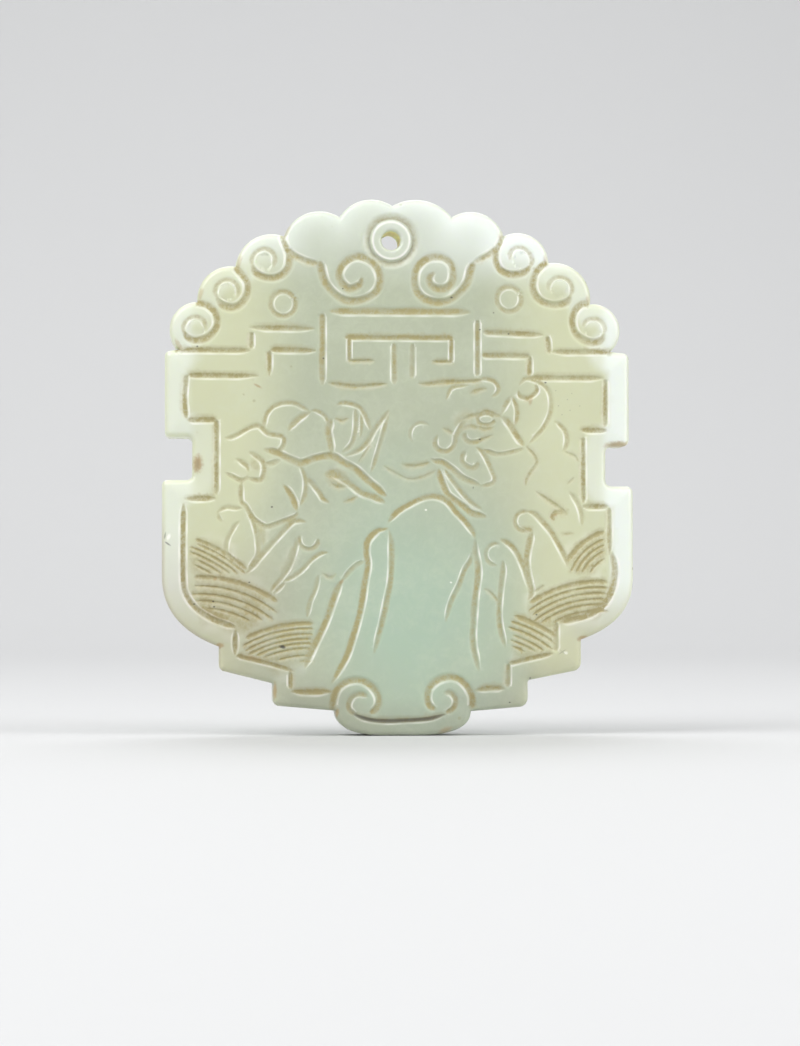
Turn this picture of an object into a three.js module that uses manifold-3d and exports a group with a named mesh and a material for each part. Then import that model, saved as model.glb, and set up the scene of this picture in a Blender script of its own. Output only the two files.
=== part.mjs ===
// Carved jade plaque: one flat piece of nephrite with a lobed cloud crest, a drilled hanging hole,
// notched and stepped sides and a scrolled foot, wheel-cut on both faces.
// Millimetres, +Z up, the front faces -Y, and the origin lies under the middle of the foot.
import * as THREE from "three";
import { mergeVertices } from "three/addons/utils/BufferGeometryUtils.js";
import Module from "manifold-3d";

// The stone
const THICKNESS = 6;
const HALF_WIDTH = 26.4;
const SHOULDER = 43;
const EDGE_ROUND = 0.45;
const EDGE_STEPS = 2;
const ARC_STEP = 0.85;
const ARC_MIN_STEPS = 3;
const MERGE = 1e-4;

// The two sides were cut by hand and are not quite alike, so each has its own sizes.
// Heights run up from the ground as far as the flank, and down from the shoulder to the notch.
const LEFT = {
  outward: -1,
  footFlat: 2.2,
  footHalf: 7.1,
  footJoint: 2.8,
  footKnee: 0.25,
  baseTread: 6.95,
  baseSlope: 0.6,
  lowWall: 2.45,
  lowTread: 6.0,
  lowSlope: 1.5,
  highWall: 2.6,
  flankKnee: 2.35,
  flankRise: 7.85,
  notchDrop: 9.7,
  notchHeight: 4.8,
  notchDepth: 3.35,
  notchBorder: 2.75,
  blockInset: 0.3,
  blockTilt: 0.2,
  cornerRound: 0.6,
  stepRound: 0.7,
};
const RIGHT = {
  outward: 1,
  footFlat: 3,
  footHalf: 8.1,
  footJoint: 2.7,
  footKnee: 0.3,
  baseTread: 6.4,
  baseSlope: 0.55,
  lowWall: 2.9,
  lowTread: 6,
  lowSlope: 1.2,
  highWall: 3.35,
  flankKnee: 2,
  flankRise: 6.9,
  notchDrop: 10.6,
  notchHeight: 4.5,
  notchDepth: 3.1,
  notchBorder: 2.4,
  blockInset: 0.45,
  blockTilt: 0.2,
  cornerRound: 0.7,
  stepRound: 1,
};
const INNER_ROUND = 0.3;

// Crest: the clefts between its lobes, from the shoulder up, and how far each lobe bows
// outwards from the straight line between its two clefts. Rises are above the shoulder.
const CREST_TOP = { x: -0.7, rise: 16.3 };
const LEFT_CREST = [
  { x: 24.6, rise: 0.05, bow: 1.95 },
  { x: 22.5, rise: 5.35, bow: 1.4 },
  { x: 18.25, rise: 9.35, bow: 1.55 },
  { x: 12.85, rise: 12.8, bow: 1.58 },
  { x: 6.65, rise: 15, bow: 1.28 },
];
const RIGHT_CREST = [
  { x: 23.85, rise: 0.05, bow: 2.15 },
  { x: 21.6, rise: 5.4, bow: 1.62 },
  { x: 16.9, rise: 10, bow: 1.6 },
  { x: 11.85, rise: 13, bow: 1.52 },
  { x: 6, rise: 15.1, bow: 1.25 },
];

// Hanging hole, drilled from both faces, with a ring left standing round it
const HOLE = { x: -0.9, rise: 12.35 };
const HOLE_RADIUS = 1.05;
const HOLE_MOUTH = 1.3;
const HOLE_FLARE = 0.7;
const RING_RADIUS = 2.15;
const RING_CUT = 0.85;
const ROUND_SEGMENTS = 24;

// Wheel cuts: each is a V with thinning ends, as a turning wheel leaves it
const CUT_WIDTH = 0.62;
const CUT_DEPTH = 0.4;
const FINE_WIDTH = 0.42;
const FINE_DEPTH = 0.28;
const CUT_END = 0.45;
const CUT_TAPER = 0.9;
const CUT_LIFT = 0.25;
const CUT_STEP = 1.15;
const FINE_STEP = 2.6;

// Curled clouds: the button that each curl winds round, and the angle it winds through.
// The curl starts in a cleft of the crest, falls to the button over its first part and
// then follows it.
const BUTTON_RADIUS = 1.3;
const LEFT_CURLS = [
  { x: 22.4, rise: 2.55, fall: 180, turn: 360 },
  { x: 19, rise: 6.6, fall: 240, turn: 380 },
  { x: 14.9, rise: 10, fall: 220, turn: 370 },
];
const RIGHT_CURLS = [
  { x: 22, rise: 2.6, fall: 190, turn: 360 },
  { x: 18.1, rise: 7.2, fall: 220, turn: 370 },
  { x: 13.9, rise: 10.3, fall: 210, turn: 360 },
];

// Head of the crest: two large curls that turn inwards over the tablet, with a bead beside each
const HEAD_RADIUS = 2.9;
const HEAD_HOLD = 190;
const HEAD_FALL = 190;
const HEAD_TURN = 540;
const LEFT_HEAD = { x: 5.1, rise: 8.4, start: 168, brow: { x: 11.6, rise: 10.7 } };
const RIGHT_HEAD = { x: 4.75, rise: 8.3, start: 164, brow: { x: 10.5, rise: 11 } };
const LEFT_BEAD = { x: 12.8, rise: 5.3 };
const RIGHT_BEAD = { x: 12.5, rise: 6 };
const BEAD_RADIUS = 1.1;

// Tablet below the head, with a key fret, placed from the shoulder
const TABLET = { left: -8.45, right: 9, top: 4.5, bottom: -3.7 };
const TABLET_GAP = 1.1;
const FRET_INSET = 3;
const FRET_DROP = 2.95;
const FRET_HEIGHT = 2.6;
const FRET_HOOK = 2.9;
const FRET_LEGS = [-0.6, 1.75];

// Frame line inside the border, with a stepped shelf beside the tablet
const BORDER = 2.4;
const BORDER_LEVEL = 1.9;
const SHELF_OUTER = 16.6;
const SHELF_INNER = 14.5;
const SHELF_RISE = 2.4;
const SHELF_DROP = 2.75;

// Foot: a scroll at each end and a line between them
const LEFT_SCROLL = { x: 4.5, height: 3.9, start: 155, hold: 120, fall: 130, turn: 260 };
const RIGHT_SCROLL = { x: 5.7, height: 3.9, start: 180, hold: 150, fall: 110, turn: 270 };
const SCROLL_RADIUS = 2.65;
const SCROLL_EYE = 1.15;
const SOLE_LINE = 1.85;

// Reverse: a square cartouche with a divider and a scrolled bracket along each side
const CARTOUCHE = { left: -9.5, right: 8.5, bottom: 15.2, top: 33.3, divider: -0.3 };
const BRACKET_CURL = 1.35;
const BRACKETS = [
  { from: [15.8, 29.4], to: [15.8, 20.6], inward: [-1, 0] },
  { from: [-16.2, 18.2], to: [-16.2, 28.2], inward: [1, 0] },
  { from: [-5, 38.6], to: [3.6, 38.6], inward: [0, -1] },
  { from: [4.6, 9.4], to: [-4, 9.4], inward: [0, 1] },
];

// Front: a picture drawn with fine strokes. A stroke runs from one point to another and bows to
// the right of its way, or to the left where its bow is below zero, or it goes through its points.
const PEACHES = [
  { from: [-14.9, 34.2], to: [-9.8, 36.3], bow: -2 },
  { from: [-9.8, 36.2], to: [-12.2, 34.1], bow: 0.3 },
  { from: [-9.8, 36.3], to: [-7.8, 34.5], bow: -0.6 },
  { from: [-17.3, 28.5], to: [-14.4, 23.5], bow: 1.1 },
  { from: [-12.8, 28.1], to: [-11.1, 25.2], bow: -0.3 },
  { from: [-11.2, 30.2], to: [-10.9, 25.8], bow: -0.8 },
];
const HAND_FRUIT = [
  { from: [-19.4, 33.2], to: [-15.3, 34.6], bow: -0.2 },
  { from: [-15.3, 34.6], to: [-12.8, 33.5], bow: 0.3 },
  { from: [-12.8, 33.5], to: [-13.6, 31.8], bow: -0.4 },
  { from: [-16.7, 31.8], to: [-15.6, 28.7], bow: -0.9 },
];
const BRANCH = [
  { through: [[-15, 32.1], [-10.7, 30.6], [-7, 31.3], [-3.9, 29.2], [-1.2, 26.8]] },
  { from: [-8, 29.4], to: [-1.4, 26.1], bow: 0.2 },
];
const BRANCH_LEAVES = [
  { from: [-6.9, 37], to: [-3.1, 34.2], bow: -0.95 },
  { from: [-4.8, 36.8], to: [-6.3, 31.7], bow: -0.6 },
  { from: [-0.9, 36.6], to: [-5.9, 31.3], bow: -0.55 },
];
const WATER_PLANTS = [
  { from: [-17.6, 24.1], to: [-17.6, 19.2], bow: 1.45 },
  { through: [[-16.9, 18.2], [-13.8, 21.8], [-11.8, 23.8], [-10.1, 24]] },
  { from: [-11.4, 22.3], to: [-14.2, 16], bow: -0.6 },
  { from: [-12.9, 17.4], to: [-7.7, 20.6], bow: -0.3 },
];
const ROCK = [
  { from: [-1.1, 23.9], to: [8.7, 22.1], bow: -3.6 },
  { through: [[-1, 23.3], [-3.3, 21.9], [-3.4, 19.2], [-4, 15.2], [-5.5, 9.5], [-7.4, 6]] },
  { from: [-1, 23.2], to: [-2.7, 9.3], bow: -0.8 },
  { from: [-6.1, 17.6], to: [-10.4, 7.6], bow: 0 },
  { from: [8.4, 20.9], to: [5.3, 12.8], bow: 0 },
  { through: [[8.7, 22.2], [9, 18.2], [8.4, 13.2], [8.6, 9.4], [9.2, 7.3]] },
  { from: [11.8, 19.8], to: [12, 9.9], bow: 0.55 },
  { from: [9.8, 19.9], to: [14.4, 18.5], bow: -2.4 },
];
const BUTTERFLY = [
  { from: [9, 40], to: [10.4, 38], bow: -1 },
  { through: [[6.9, 35.3], [9.9, 36.4], [12.4, 35.1], [14.2, 32.5]] },
  { from: [13.5, 38.8], to: [15.4, 39.6], bow: 1.1 },
  { from: [14.2, 40.1], to: [14.7, 32.8], bow: -2.8 },
  { from: [9.2, 32.1], to: [14.2, 32.3], bow: 0.55 },
  { from: [4.5, 33.8], to: [6.4, 32.9], bow: 1.2 },
  { through: [[14.3, 32.5], [15.5, 30.9], [14.6, 29.2], [14.4, 28]] },
  { through: [[8.7, 32.4], [10.1, 30.5], [10.7, 28.7], [9.2, 28]] },
];
const CLOUD = [
  { from: [3.6, 31], to: [9.3, 28.1], bow: -0.2 },
  { from: [4.6, 30], to: [10, 24.6], bow: 1.1 },
];
const SIDE_LEAF = [
  { from: [17.5, 35.3], to: [18.4, 31.9], bow: -1 },
  { from: [15.4, 27.5], to: [19.1, 24.7], bow: -0.15 },
];

// Waves: fans of arcs, each with a centre, its outer radius, the step to the next arc and their
// count. An arc ends at an upright x or at a level y, whichever it meets first, and side says
// whether it meets the level to the left or to the right of its centre.
const WAVE_GAP = 1.1;
const WAVE_EDGE = HALF_WIDTH - BORDER - WAVE_GAP;
const WAVES = [
  {
    centre: [-28.9, 4.8], outer: 18.35, step: 0.8, count: 4,
    ends: [{ x: -WAVE_EDGE }, { y: 18.1, side: 1 }],
  },
  {
    centre: [-22, 3.1], outer: 13.7, step: 0.8, count: 3,
    ends: [{ x: -WAVE_EDGE }, { y: 13.3, side: 1 }],
  },
  {
    centre: [-10, -2.5], outer: 14.8, step: 0.8, count: 4,
    ends: [{ x: -17.2, y: 9.3, side: -1 }, { x: -9.9 }],
  },
  {
    centre: [25.2, 16.2], outer: 7.05, step: 0.9, count: 2,
    ends: [{ y: 18.1, side: -1 }, { x: WAVE_EDGE }],
  },
  {
    centre: [22.6, 3.4], outer: 13.95, step: 0.8, count: 4,
    ends: [{ y: 13.4, side: -1 }, { x: WAVE_EDGE }],
  },
  {
    centre: [8.8, -1.2], outer: 14.6, step: 0.8, count: 3,
    ends: [{ x: 12.3 }, { x: 17.6, y: 9.9, side: 1 }],
  },
];

const wasm = await Module();
wasm.setup();

/** A closed manifold solid from a geometry whose faces meet along shared edges. */
function solidOf(geometry) {
  const bare = geometry.index ? geometry.toNonIndexed() : geometry;
  bare.deleteAttribute("normal");
  bare.deleteAttribute("uv");
  const merged = mergeVertices(bare, MERGE);
  return new wasm.Manifold(new wasm.Mesh({
    numProp: 3,
    vertProperties: new Float32Array(merged.attributes.position.array),
    triVerts: new Uint32Array(merged.index.array),
  }));
}

/** A geometry with the vertices and triangles of a solid. */
function geometryOf(solid) {
  const mesh = solid.getMesh();
  const geometry = new THREE.BufferGeometry();
  geometry.setAttribute("position", new THREE.BufferAttribute(new Float32Array(mesh.vertProperties), 3));
  geometry.setIndex(new THREE.BufferAttribute(new Uint32Array(mesh.triVerts), 1));
  geometry.computeVertexNormals();
  return geometry;
}

/** A point of the drawing, which lies in the plane of the front face: x to the right, y up. */
function at(x, y) {
  return new THREE.Vector2(x, y);
}

/** A corner of the outline, its rounding, and the bow or knee of the edge that comes up to it. */
function corner(x, y, round = 0, edge = {}) {
  return { point: at(x, y), round, bow: edge.bow ?? 0, knee: edge.knee ?? null };
}

/** Heights and reaches of one side, worked out from its own sizes. */
function levels(side) {
  const lowX = side.footHalf + side.baseTread;
  const lowFoot = side.footJoint + side.baseSlope;
  const lowTop = lowFoot + side.lowWall;
  const highX = lowX + side.lowTread;
  const highFoot = lowTop + side.lowSlope;
  const highTop = highFoot + side.highWall;
  const notchTop = SHOULDER - side.notchDrop;
  return {
    lowX, lowFoot, lowTop, highX, highFoot, highTop, notchTop,
    flankTop: highTop + side.flankRise,
    notchFloor: notchTop - side.notchHeight,
    notchX: HALF_WIDTH - side.notchDepth,
    blockX: HALF_WIDTH - side.blockInset,
  };
}

/** Corners of one side of the plaque, from the foot up to the last cleft of the crest. */
function sideCorners(side, crest) {
  const h = levels(side);
  const s = side.outward;
  const corners = [
    corner(s * side.footFlat, 0),
    corner(s * side.footHalf, side.footJoint, 0, { knee: at(s * side.footHalf, side.footKnee) }),
    corner(s * h.lowX, h.lowFoot, side.stepRound),
    corner(s * h.lowX, h.lowTop, INNER_ROUND),
    corner(s * h.highX, h.highFoot, side.stepRound),
    corner(s * h.highX, h.highTop),
    corner(s * HALF_WIDTH, h.flankTop, 0, { knee: at(s * HALF_WIDTH, h.highTop + side.flankKnee) }),
    corner(s * HALF_WIDTH, h.notchFloor, side.cornerRound),
    corner(s * h.notchX, h.notchFloor, side.cornerRound),
    corner(s * h.notchX, h.notchTop, side.cornerRound),
    corner(s * h.blockX, h.notchTop, side.cornerRound),
    corner(s * h.blockX, SHOULDER - side.blockTilt, side.cornerRound),
  ];
  let bow = 0;
  for (const cleft of crest) {
    corners.push(corner(s * cleft.x, SHOULDER + cleft.rise, 0, { bow }));
    bow = cleft.bow;
  }
  return { corners, lastBow: bow };
}

/** An arc from one point to another that bows out to the right of the way it runs. */
function bowArc(from, to, bow) {
  const chord = to.clone().sub(from);
  const half = chord.length() / 2;
  const radius = (half * half + bow * bow) / (2 * bow);
  const outward = at(chord.y, -chord.x).normalize();
  const centre = from.clone().add(to).multiplyScalar(0.5).addScaledVector(outward, bow - radius);
  const start = Math.atan2(from.y - centre.y, from.x - centre.x);
  const end = Math.atan2(to.y - centre.y, to.x - centre.x);
  return new THREE.EllipseCurve(centre.x, centre.y, radius, radius, start, end, false);
}

/** Where the rounding of a corner starts and ends, and its arc. */
function rounding(before, here, after) {
  const inDir = here.point.clone().sub(before.point).normalize();
  const outDir = after.point.clone().sub(here.point).normalize();
  const turn = Math.atan2(inDir.cross(outDir), inDir.dot(outDir));
  const trim = here.round * Math.tan(Math.abs(turn) / 2);
  const enter = here.point.clone().addScaledVector(inDir, -trim);
  const leave = here.point.clone().addScaledVector(outDir, trim);
  const side = Math.sign(turn);
  const centre = enter.clone().add(at(-inDir.y, inDir.x).multiplyScalar(side * here.round));
  const start = Math.atan2(enter.y - centre.y, enter.x - centre.x);
  const arc = new THREE.EllipseCurve(
    centre.x, centre.y, here.round, here.round, start, start + turn, side < 0,
  );
  return { enter, leave, arc };
}

/** Closed outline through the corners, run round with the stone on the left. */
function outlineShape(corners) {
  const count = corners.length;
  const roundings = corners.map((here, i) => (
    rounding(corners[(i + count - 1) % count], here, corners[(i + 1) % count])
  ));
  const points = [];
  const add = (curve) => {
    const steps = Math.max(ARC_MIN_STEPS, Math.ceil(curve.getLength() / ARC_STEP));
    points.push(...curve.getPoints(steps).slice(1));
  };
  for (let i = 0; i < count; i += 1) {
    const here = corners[i];
    const { enter, arc } = roundings[i];
    const from = roundings[(i + count - 1) % count].leave;
    if (here.bow > 0) {
      add(bowArc(from, enter, here.bow));
    } else if (here.knee) {
      add(new THREE.QuadraticBezierCurve(from, here.knee, enter));
    } else {
      points.push(enter);
    }
    if (here.round > 0) {
      add(arc);
    }
  }
  return new THREE.Shape(points);
}

/** Outline of the whole plaque: up the right side, over the crest and down the left side. */
function plaqueShape() {
  const right = sideCorners(RIGHT, RIGHT_CREST);
  const left = sideCorners(LEFT, LEFT_CREST);
  const top = corner(CREST_TOP.x, SHOULDER + CREST_TOP.rise, 0, { bow: right.lastBow });
  const down = [];
  let edge = { bow: left.lastBow, knee: null };
  for (const here of left.corners.slice().reverse()) {
    down.push({ ...here, bow: edge.bow, knee: edge.knee });
    edge = { bow: here.bow, knee: here.knee };
  }
  return outlineShape([...right.corners, top, ...down]);
}

/** The uncut stone: the outline at full thickness, with its edges rounded over. */
function blank() {
  const geometry = new THREE.ExtrudeGeometry(plaqueShape(), {
    depth: THICKNESS - 2 * EDGE_ROUND,
    bevelEnabled: true,
    bevelThickness: EDGE_ROUND,
    bevelSize: EDGE_ROUND,
    bevelOffset: -EDGE_ROUND,
    bevelSegments: EDGE_STEPS,
  });
  geometry.translate(0, 0, EDGE_ROUND - THICKNESS / 2);
  return solidOf(geometry);
}

/** A curve that winds round a centre: it holds its radius, falls to a smaller one and follows it. */
class Volute extends THREE.Curve {
  constructor({ centre, radius, eye, start, hold, fall, turn, sense }) {
    super();
    Object.assign(this, { centre, radius, eye, start, hold, fall, turn, sense });
  }

  getPoint(t, target = new THREE.Vector2()) {
    const wound = this.turn * t;
    const fallen = THREE.MathUtils.clamp((wound - this.hold) / this.fall, 0, 1);
    const radius = this.eye + (this.radius - this.eye) * (1 + Math.cos(Math.PI * fallen)) / 2;
    const angle = THREE.MathUtils.degToRad(this.start + this.sense * wound);
    return target.set(
      this.centre.x + radius * Math.cos(angle),
      this.centre.y + radius * Math.sin(angle),
    );
  }
}

/** A straight cut between two points. */
function line(from, to, width = CUT_WIDTH, depth = CUT_DEPTH) {
  return { curve: new THREE.LineCurve(from, to), width, depth };
}

/** A cut along a smooth curve through some points. */
function sweep(points, width = CUT_WIDTH, depth = CUT_DEPTH) {
  return { curve: new THREE.SplineCurve(points), width, depth };
}

/** A fine cut of the picture: an arc or a line between two points, or a curve through several. */
function stroke({ from, to, bow, through }) {
  const fine = { width: FINE_WIDTH, depth: FINE_DEPTH, step: FINE_STEP };
  if (through) {
    return { curve: new THREE.SplineCurve(through.map((point) => at(...point))), ...fine };
  }
  const start = at(...from);
  const end = at(...to);
  if (bow === 0) {
    return { curve: new THREE.LineCurve(start, end), ...fine };
  }
  return { curve: bow > 0 ? bowArc(start, end, bow) : bowArc(end, start, -bow), ...fine };
}

/** The wheel's path as a solid: a V that stands a little above the face and thins at both ends. */
function cutter({ curve, width, depth, step = CUT_STEP }, face) {
  const length = curve.getLength();
  const taper = Math.min(CUT_TAPER, length / 3);
  const marks = [0, taper, length - taper, length];
  if (!(curve instanceof THREE.LineCurve)) {
    const count = Math.ceil((length - 2 * taper) / step);
    const spacing = (length - 2 * taper) / count;
    marks.splice(2, 0, ...Array.from({ length: count - 1 }, (_, i) => taper + spacing * (i + 1)));
  }
  const surface = face * THICKNESS / 2;
  const places = [];
  for (const mark of marks) {
    const t = mark / length;
    const share = CUT_END + (1 - CUT_END) * Math.min(1, mark / taper, (length - mark) / taper);
    const point = curve.getPointAt(t);
    const along = curve.getTangentAt(t);
    const deep = depth * share;
    const reach = (width / 2) * share * (deep + CUT_LIFT) / deep;
    const top = surface + face * CUT_LIFT;
    places.push(point.x - along.y * reach, point.y + along.x * reach, top);
    places.push(point.x, point.y, surface - face * deep);
    places.push(point.x + along.y * reach, point.y - along.x * reach, top);
  }
  const triangles = [];
  const add = (a, b, c) => triangles.push(...(face > 0 ? [a, c, b] : [a, b, c]));
  const last = places.length / 3 - 3;
  for (let i = 0; i < last; i += 3) {
    for (let k = 0; k < 3; k += 1) {
      const here = i + k;
      const next = i + (k + 1) % 3;
      add(here, next, here + 3);
      add(next, next + 3, here + 3);
    }
  }
  add(0, 2, 1);
  add(last, last + 1, last + 2);
  const geometry = new THREE.BufferGeometry();
  geometry.setAttribute("position", new THREE.Float32BufferAttribute(places, 3));
  geometry.setIndex(triangles);
  return solidOf(geometry);
}

/** A V groove right round a centre, as a solid ring to cut away. */
function ringCutter(centre, radius, width, depth, face) {
  const reach = (width / 2) * (depth + CUT_LIFT) / depth;
  const profile = [at(radius - reach, CUT_LIFT), at(radius, -depth), at(radius + reach, CUT_LIFT)];
  profile.push(profile[0].clone());
  const geometry = new THREE.LatheGeometry(profile, ROUND_SEGMENTS);
  geometry.rotateX(face * Math.PI / 2);
  geometry.translate(centre.x, centre.y, face * THICKNESS / 2);
  return solidOf(geometry);
}

/** The drill: straight through the middle, with a mouth that opens towards each face. */
function drill(centre) {
  const half = THICKNESS / 2;
  const neck = half - HOLE_FLARE;
  const past = half + CUT_LIFT;
  const wide = HOLE_MOUTH + (HOLE_MOUTH - HOLE_RADIUS) * CUT_LIFT / HOLE_FLARE;
  const profile = [
    at(0, -past), at(wide, -past), at(HOLE_RADIUS, -neck),
    at(HOLE_RADIUS, neck), at(wide, past), at(0, past),
  ];
  const geometry = new THREE.LatheGeometry(profile, ROUND_SEGMENTS);
  geometry.rotateX(Math.PI / 2);
  geometry.translate(centre.x, centre.y, 0);
  return solidOf(geometry);
}

/** The cloud curls of one side, each wound from its cleft round its button. */
function curlCuts(side, crest, curls) {
  return curls.map((curl, i) => {
    const centre = at(side.outward * curl.x, SHOULDER + curl.rise);
    const cleft = at(side.outward * crest[i + 1].x, SHOULDER + crest[i + 1].rise);
    const arm = cleft.sub(centre);
    const volute = new Volute({
      centre,
      radius: arm.length(),
      eye: BUTTON_RADIUS,
      start: THREE.MathUtils.radToDeg(arm.angle()),
      hold: 0,
      fall: curl.fall,
      turn: curl.turn,
      sense: side.outward,
    });
    return { curve: volute, width: CUT_WIDTH, depth: CUT_DEPTH };
  });
}

/** One large curl of the head, and the brow line that runs to it from a cleft. */
function headCuts(side, crest, head) {
  const s = side.outward;
  const centre = at(s * head.x, SHOULDER + head.rise);
  const volute = new Volute({
    centre,
    radius: HEAD_RADIUS,
    eye: BUTTON_RADIUS,
    start: s < 0 ? head.start : 180 - head.start,
    hold: HEAD_HOLD,
    fall: HEAD_FALL,
    turn: HEAD_TURN,
    sense: -s,
  });
  const cleft = crest[3];
  const brow = sweep([
    at(s * cleft.x, SHOULDER + cleft.rise),
    at(s * head.brow.x, SHOULDER + head.brow.rise),
    volute.getPoint(0).add(at(s * BUTTON_RADIUS / 2, HEAD_RADIUS / 3)),
  ]);
  return [{ curve: volute, width: CUT_WIDTH, depth: CUT_DEPTH }, brow];
}

/** The tablet's edges and the key fret on it. */
function tabletCuts() {
  const top = SHOULDER + TABLET.top;
  const bottom = SHOULDER + TABLET.bottom;
  const fretTop = top - FRET_DROP;
  const fretLeft = TABLET.left + FRET_INSET;
  const fretRight = TABLET.right - FRET_INSET;
  const hook = fretTop - FRET_HEIGHT;
  const legFoot = bottom + FINE_WIDTH;
  return [
    line(at(TABLET.left, top), at(TABLET.left, bottom)),
    line(at(TABLET.right, top - CUT_WIDTH), at(TABLET.right, bottom + CUT_WIDTH)),
    line(at(TABLET.left + TABLET_GAP, top), at(TABLET.right - CUT_WIDTH, top)),
    line(at(TABLET.left + CUT_WIDTH, bottom), at(FRET_LEGS[0], bottom)),
    line(at(FRET_LEGS[1], bottom), at(TABLET.right, bottom + CUT_WIDTH)),
    line(at(fretLeft - FINE_WIDTH, fretTop), at(fretRight + FINE_WIDTH, fretTop)),
    line(at(fretLeft, fretTop), at(fretLeft, hook)),
    line(at(fretRight, fretTop), at(fretRight, hook)),
    line(at(fretLeft, hook), at(fretLeft + FRET_HOOK, hook)),
    line(at(fretRight, hook), at(fretRight - FRET_HOOK, hook)),
    ...FRET_LEGS.map((x) => line(at(x, fretTop), at(x, legFoot))),
  ];
}

/** The frame line of one side, cut inside the border from the crest's foot to the foot. */
function frameCuts(side, crest) {
  const h = levels(side);
  const s = side.outward;
  const tablet = s < 0 ? -TABLET.left : TABLET.right;
  const blockX = h.blockX - BORDER;
  const notchX = h.notchX - side.notchBorder;
  const flankX = HALF_WIDTH - BORDER;
  const highX = h.highX - BORDER;
  const lowX = h.lowX - BORDER;
  const shelfTop = SHOULDER + SHELF_RISE;
  const shelfFoot = SHOULDER - SHELF_DROP;
  const aboveNotch = h.notchTop + BORDER_LEVEL;
  const belowNotch = h.notchFloor - BORDER_LEVEL;
  const aboveFlank = h.highTop + side.flankKnee;
  const highLine = h.highFoot + BORDER_LEVEL;
  const lowLine = h.lowTop + BORDER_LEVEL;
  const soleLine = h.lowFoot + BORDER_LEVEL;
  const p = (x, y) => at(s * x, y);
  return [
    line(p(crest[0].x + EDGE_ROUND, SHOULDER + crest[0].rise), p(SHELF_OUTER, SHOULDER)),
    line(p(SHELF_OUTER, SHOULDER), p(SHELF_OUTER, shelfTop)),
    line(p(SHELF_OUTER, shelfTop), p(tablet + CUT_WIDTH, shelfTop)),
    line(p(tablet + CUT_WIDTH, SHOULDER), p(SHELF_INNER, SHOULDER)),
    line(p(SHELF_INNER, SHOULDER), p(SHELF_INNER, shelfFoot)),
    line(p(SHELF_INNER, shelfFoot), p(blockX, shelfFoot)),
    line(p(blockX, shelfFoot), p(blockX, aboveNotch)),
    line(p(blockX, aboveNotch), p(notchX, aboveNotch)),
    line(p(notchX, aboveNotch), p(notchX, belowNotch)),
    line(p(notchX, belowNotch), p(flankX, belowNotch)),
    line(p(flankX, belowNotch), p(flankX, h.flankTop)),
    sweep([
      p(flankX, h.flankTop),
      p(flankX - BORDER / 2, aboveFlank + BORDER),
      p((flankX + highX) / 2, aboveFlank + BORDER / 2),
      p(highX, aboveFlank),
    ]),
    line(p(highX, aboveFlank), p(highX, highLine)),
    line(p(highX, highLine), p(lowX, lowLine)),
    line(p(lowX, lowLine), p(lowX, soleLine)),
    line(p(lowX, soleLine), p(side.footHalf + CUT_WIDTH, soleLine)),
  ];
}

/** One scroll of the foot. */
function scrollCut(side, scroll) {
  const s = side.outward;
  const volute = new Volute({
    centre: at(s * scroll.x, scroll.height),
    radius: SCROLL_RADIUS,
    eye: SCROLL_EYE,
    start: s < 0 ? scroll.start : 180 - scroll.start,
    hold: scroll.hold,
    fall: scroll.fall,
    turn: scroll.turn,
    sense: s,
  });
  return { curve: volute, width: CUT_WIDTH, depth: CUT_DEPTH };
}

/** The line between the foot's scrolls. */
function soleCut() {
  const left = at(-LEFT_SCROLL.x, LEFT_SCROLL.height - SCROLL_EYE);
  const right = at(RIGHT_SCROLL.x, RIGHT_SCROLL.height - SCROLL_EYE);
  const low = SOLE_LINE;
  return sweep([left, at(-LEFT_SCROLL.x / 2, low), at(RIGHT_SCROLL.x / 2, low), right]);
}

/** One bracket of the reverse: a spine between two curls that turn inwards. */
function bracketCuts({ from, to, inward }) {
  const start = at(...from);
  const end = at(...to);
  const inside = at(...inward).multiplyScalar(2 * BRACKET_CURL);
  const along = end.clone().sub(start).normalize();
  const curl = (corner, sense) => {
    const out = along.clone().multiplyScalar(sense * BRACKET_CURL);
    const middle = corner.clone().addScaledVector(inside, 0.5);
    return sweep([
      corner,
      middle.clone().add(out),
      corner.clone().add(inside),
      middle.clone().sub(out),
    ], FINE_WIDTH, FINE_DEPTH);
  };
  return [line(start, end, FINE_WIDTH, FINE_DEPTH), curl(start, -1), curl(end, 1)];
}

/** The cartouche of the reverse and the brackets round it. */
function reverseCuts() {
  const { left, right, bottom, top, divider } = CARTOUCHE;
  return [
    line(at(left, bottom), at(left, top)),
    line(at(right, bottom), at(right, top)),
    line(at(left, top), at(right, top)),
    line(at(left, bottom), at(right, bottom)),
    line(at(divider, bottom), at(divider, top)),
    ...BRACKETS.flatMap(bracketCuts),
  ];
}

/** The angle at which an arc round a centre meets an upright x or a level y. */
function meeting(centre, radius, { x, y, side }, choose) {
  const angles = [];
  if (x !== undefined) {
    angles.push(Math.acos((x - centre.x) / radius));
  }
  if (y !== undefined) {
    const rise = Math.asin((y - centre.y) / radius);
    angles.push(side > 0 ? rise : Math.PI - rise);
  }
  return choose(...angles);
}

/** One fan of waves, each arc cut from its left end over to its right end. */
function waveCuts({ centre, outer, step, count, ends }) {
  const middle = at(...centre);
  return Array.from({ length: count }, (_, i) => {
    const radius = outer - step * i;
    const start = meeting(middle, radius, ends[0], Math.min);
    const end = meeting(middle, radius, ends[1], Math.max);
    const curve = new THREE.EllipseCurve(middle.x, middle.y, radius, radius, start, end, true);
    return { curve, width: FINE_WIDTH, depth: FINE_DEPTH, step: FINE_STEP };
  });
}

/** The picture of the front: peaches on a branch, a tall rock, a butterfly, leaves and waves. */
function frontCuts() {
  const strokes = [
    PEACHES, HAND_FRUIT, BRANCH, BRANCH_LEAVES, WATER_PLANTS, ROCK, BUTTERFLY, CLOUD, SIDE_LEAF,
  ].flat();
  return [...strokes.map(stroke), ...WAVES.flatMap(waveCuts)];
}

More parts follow.
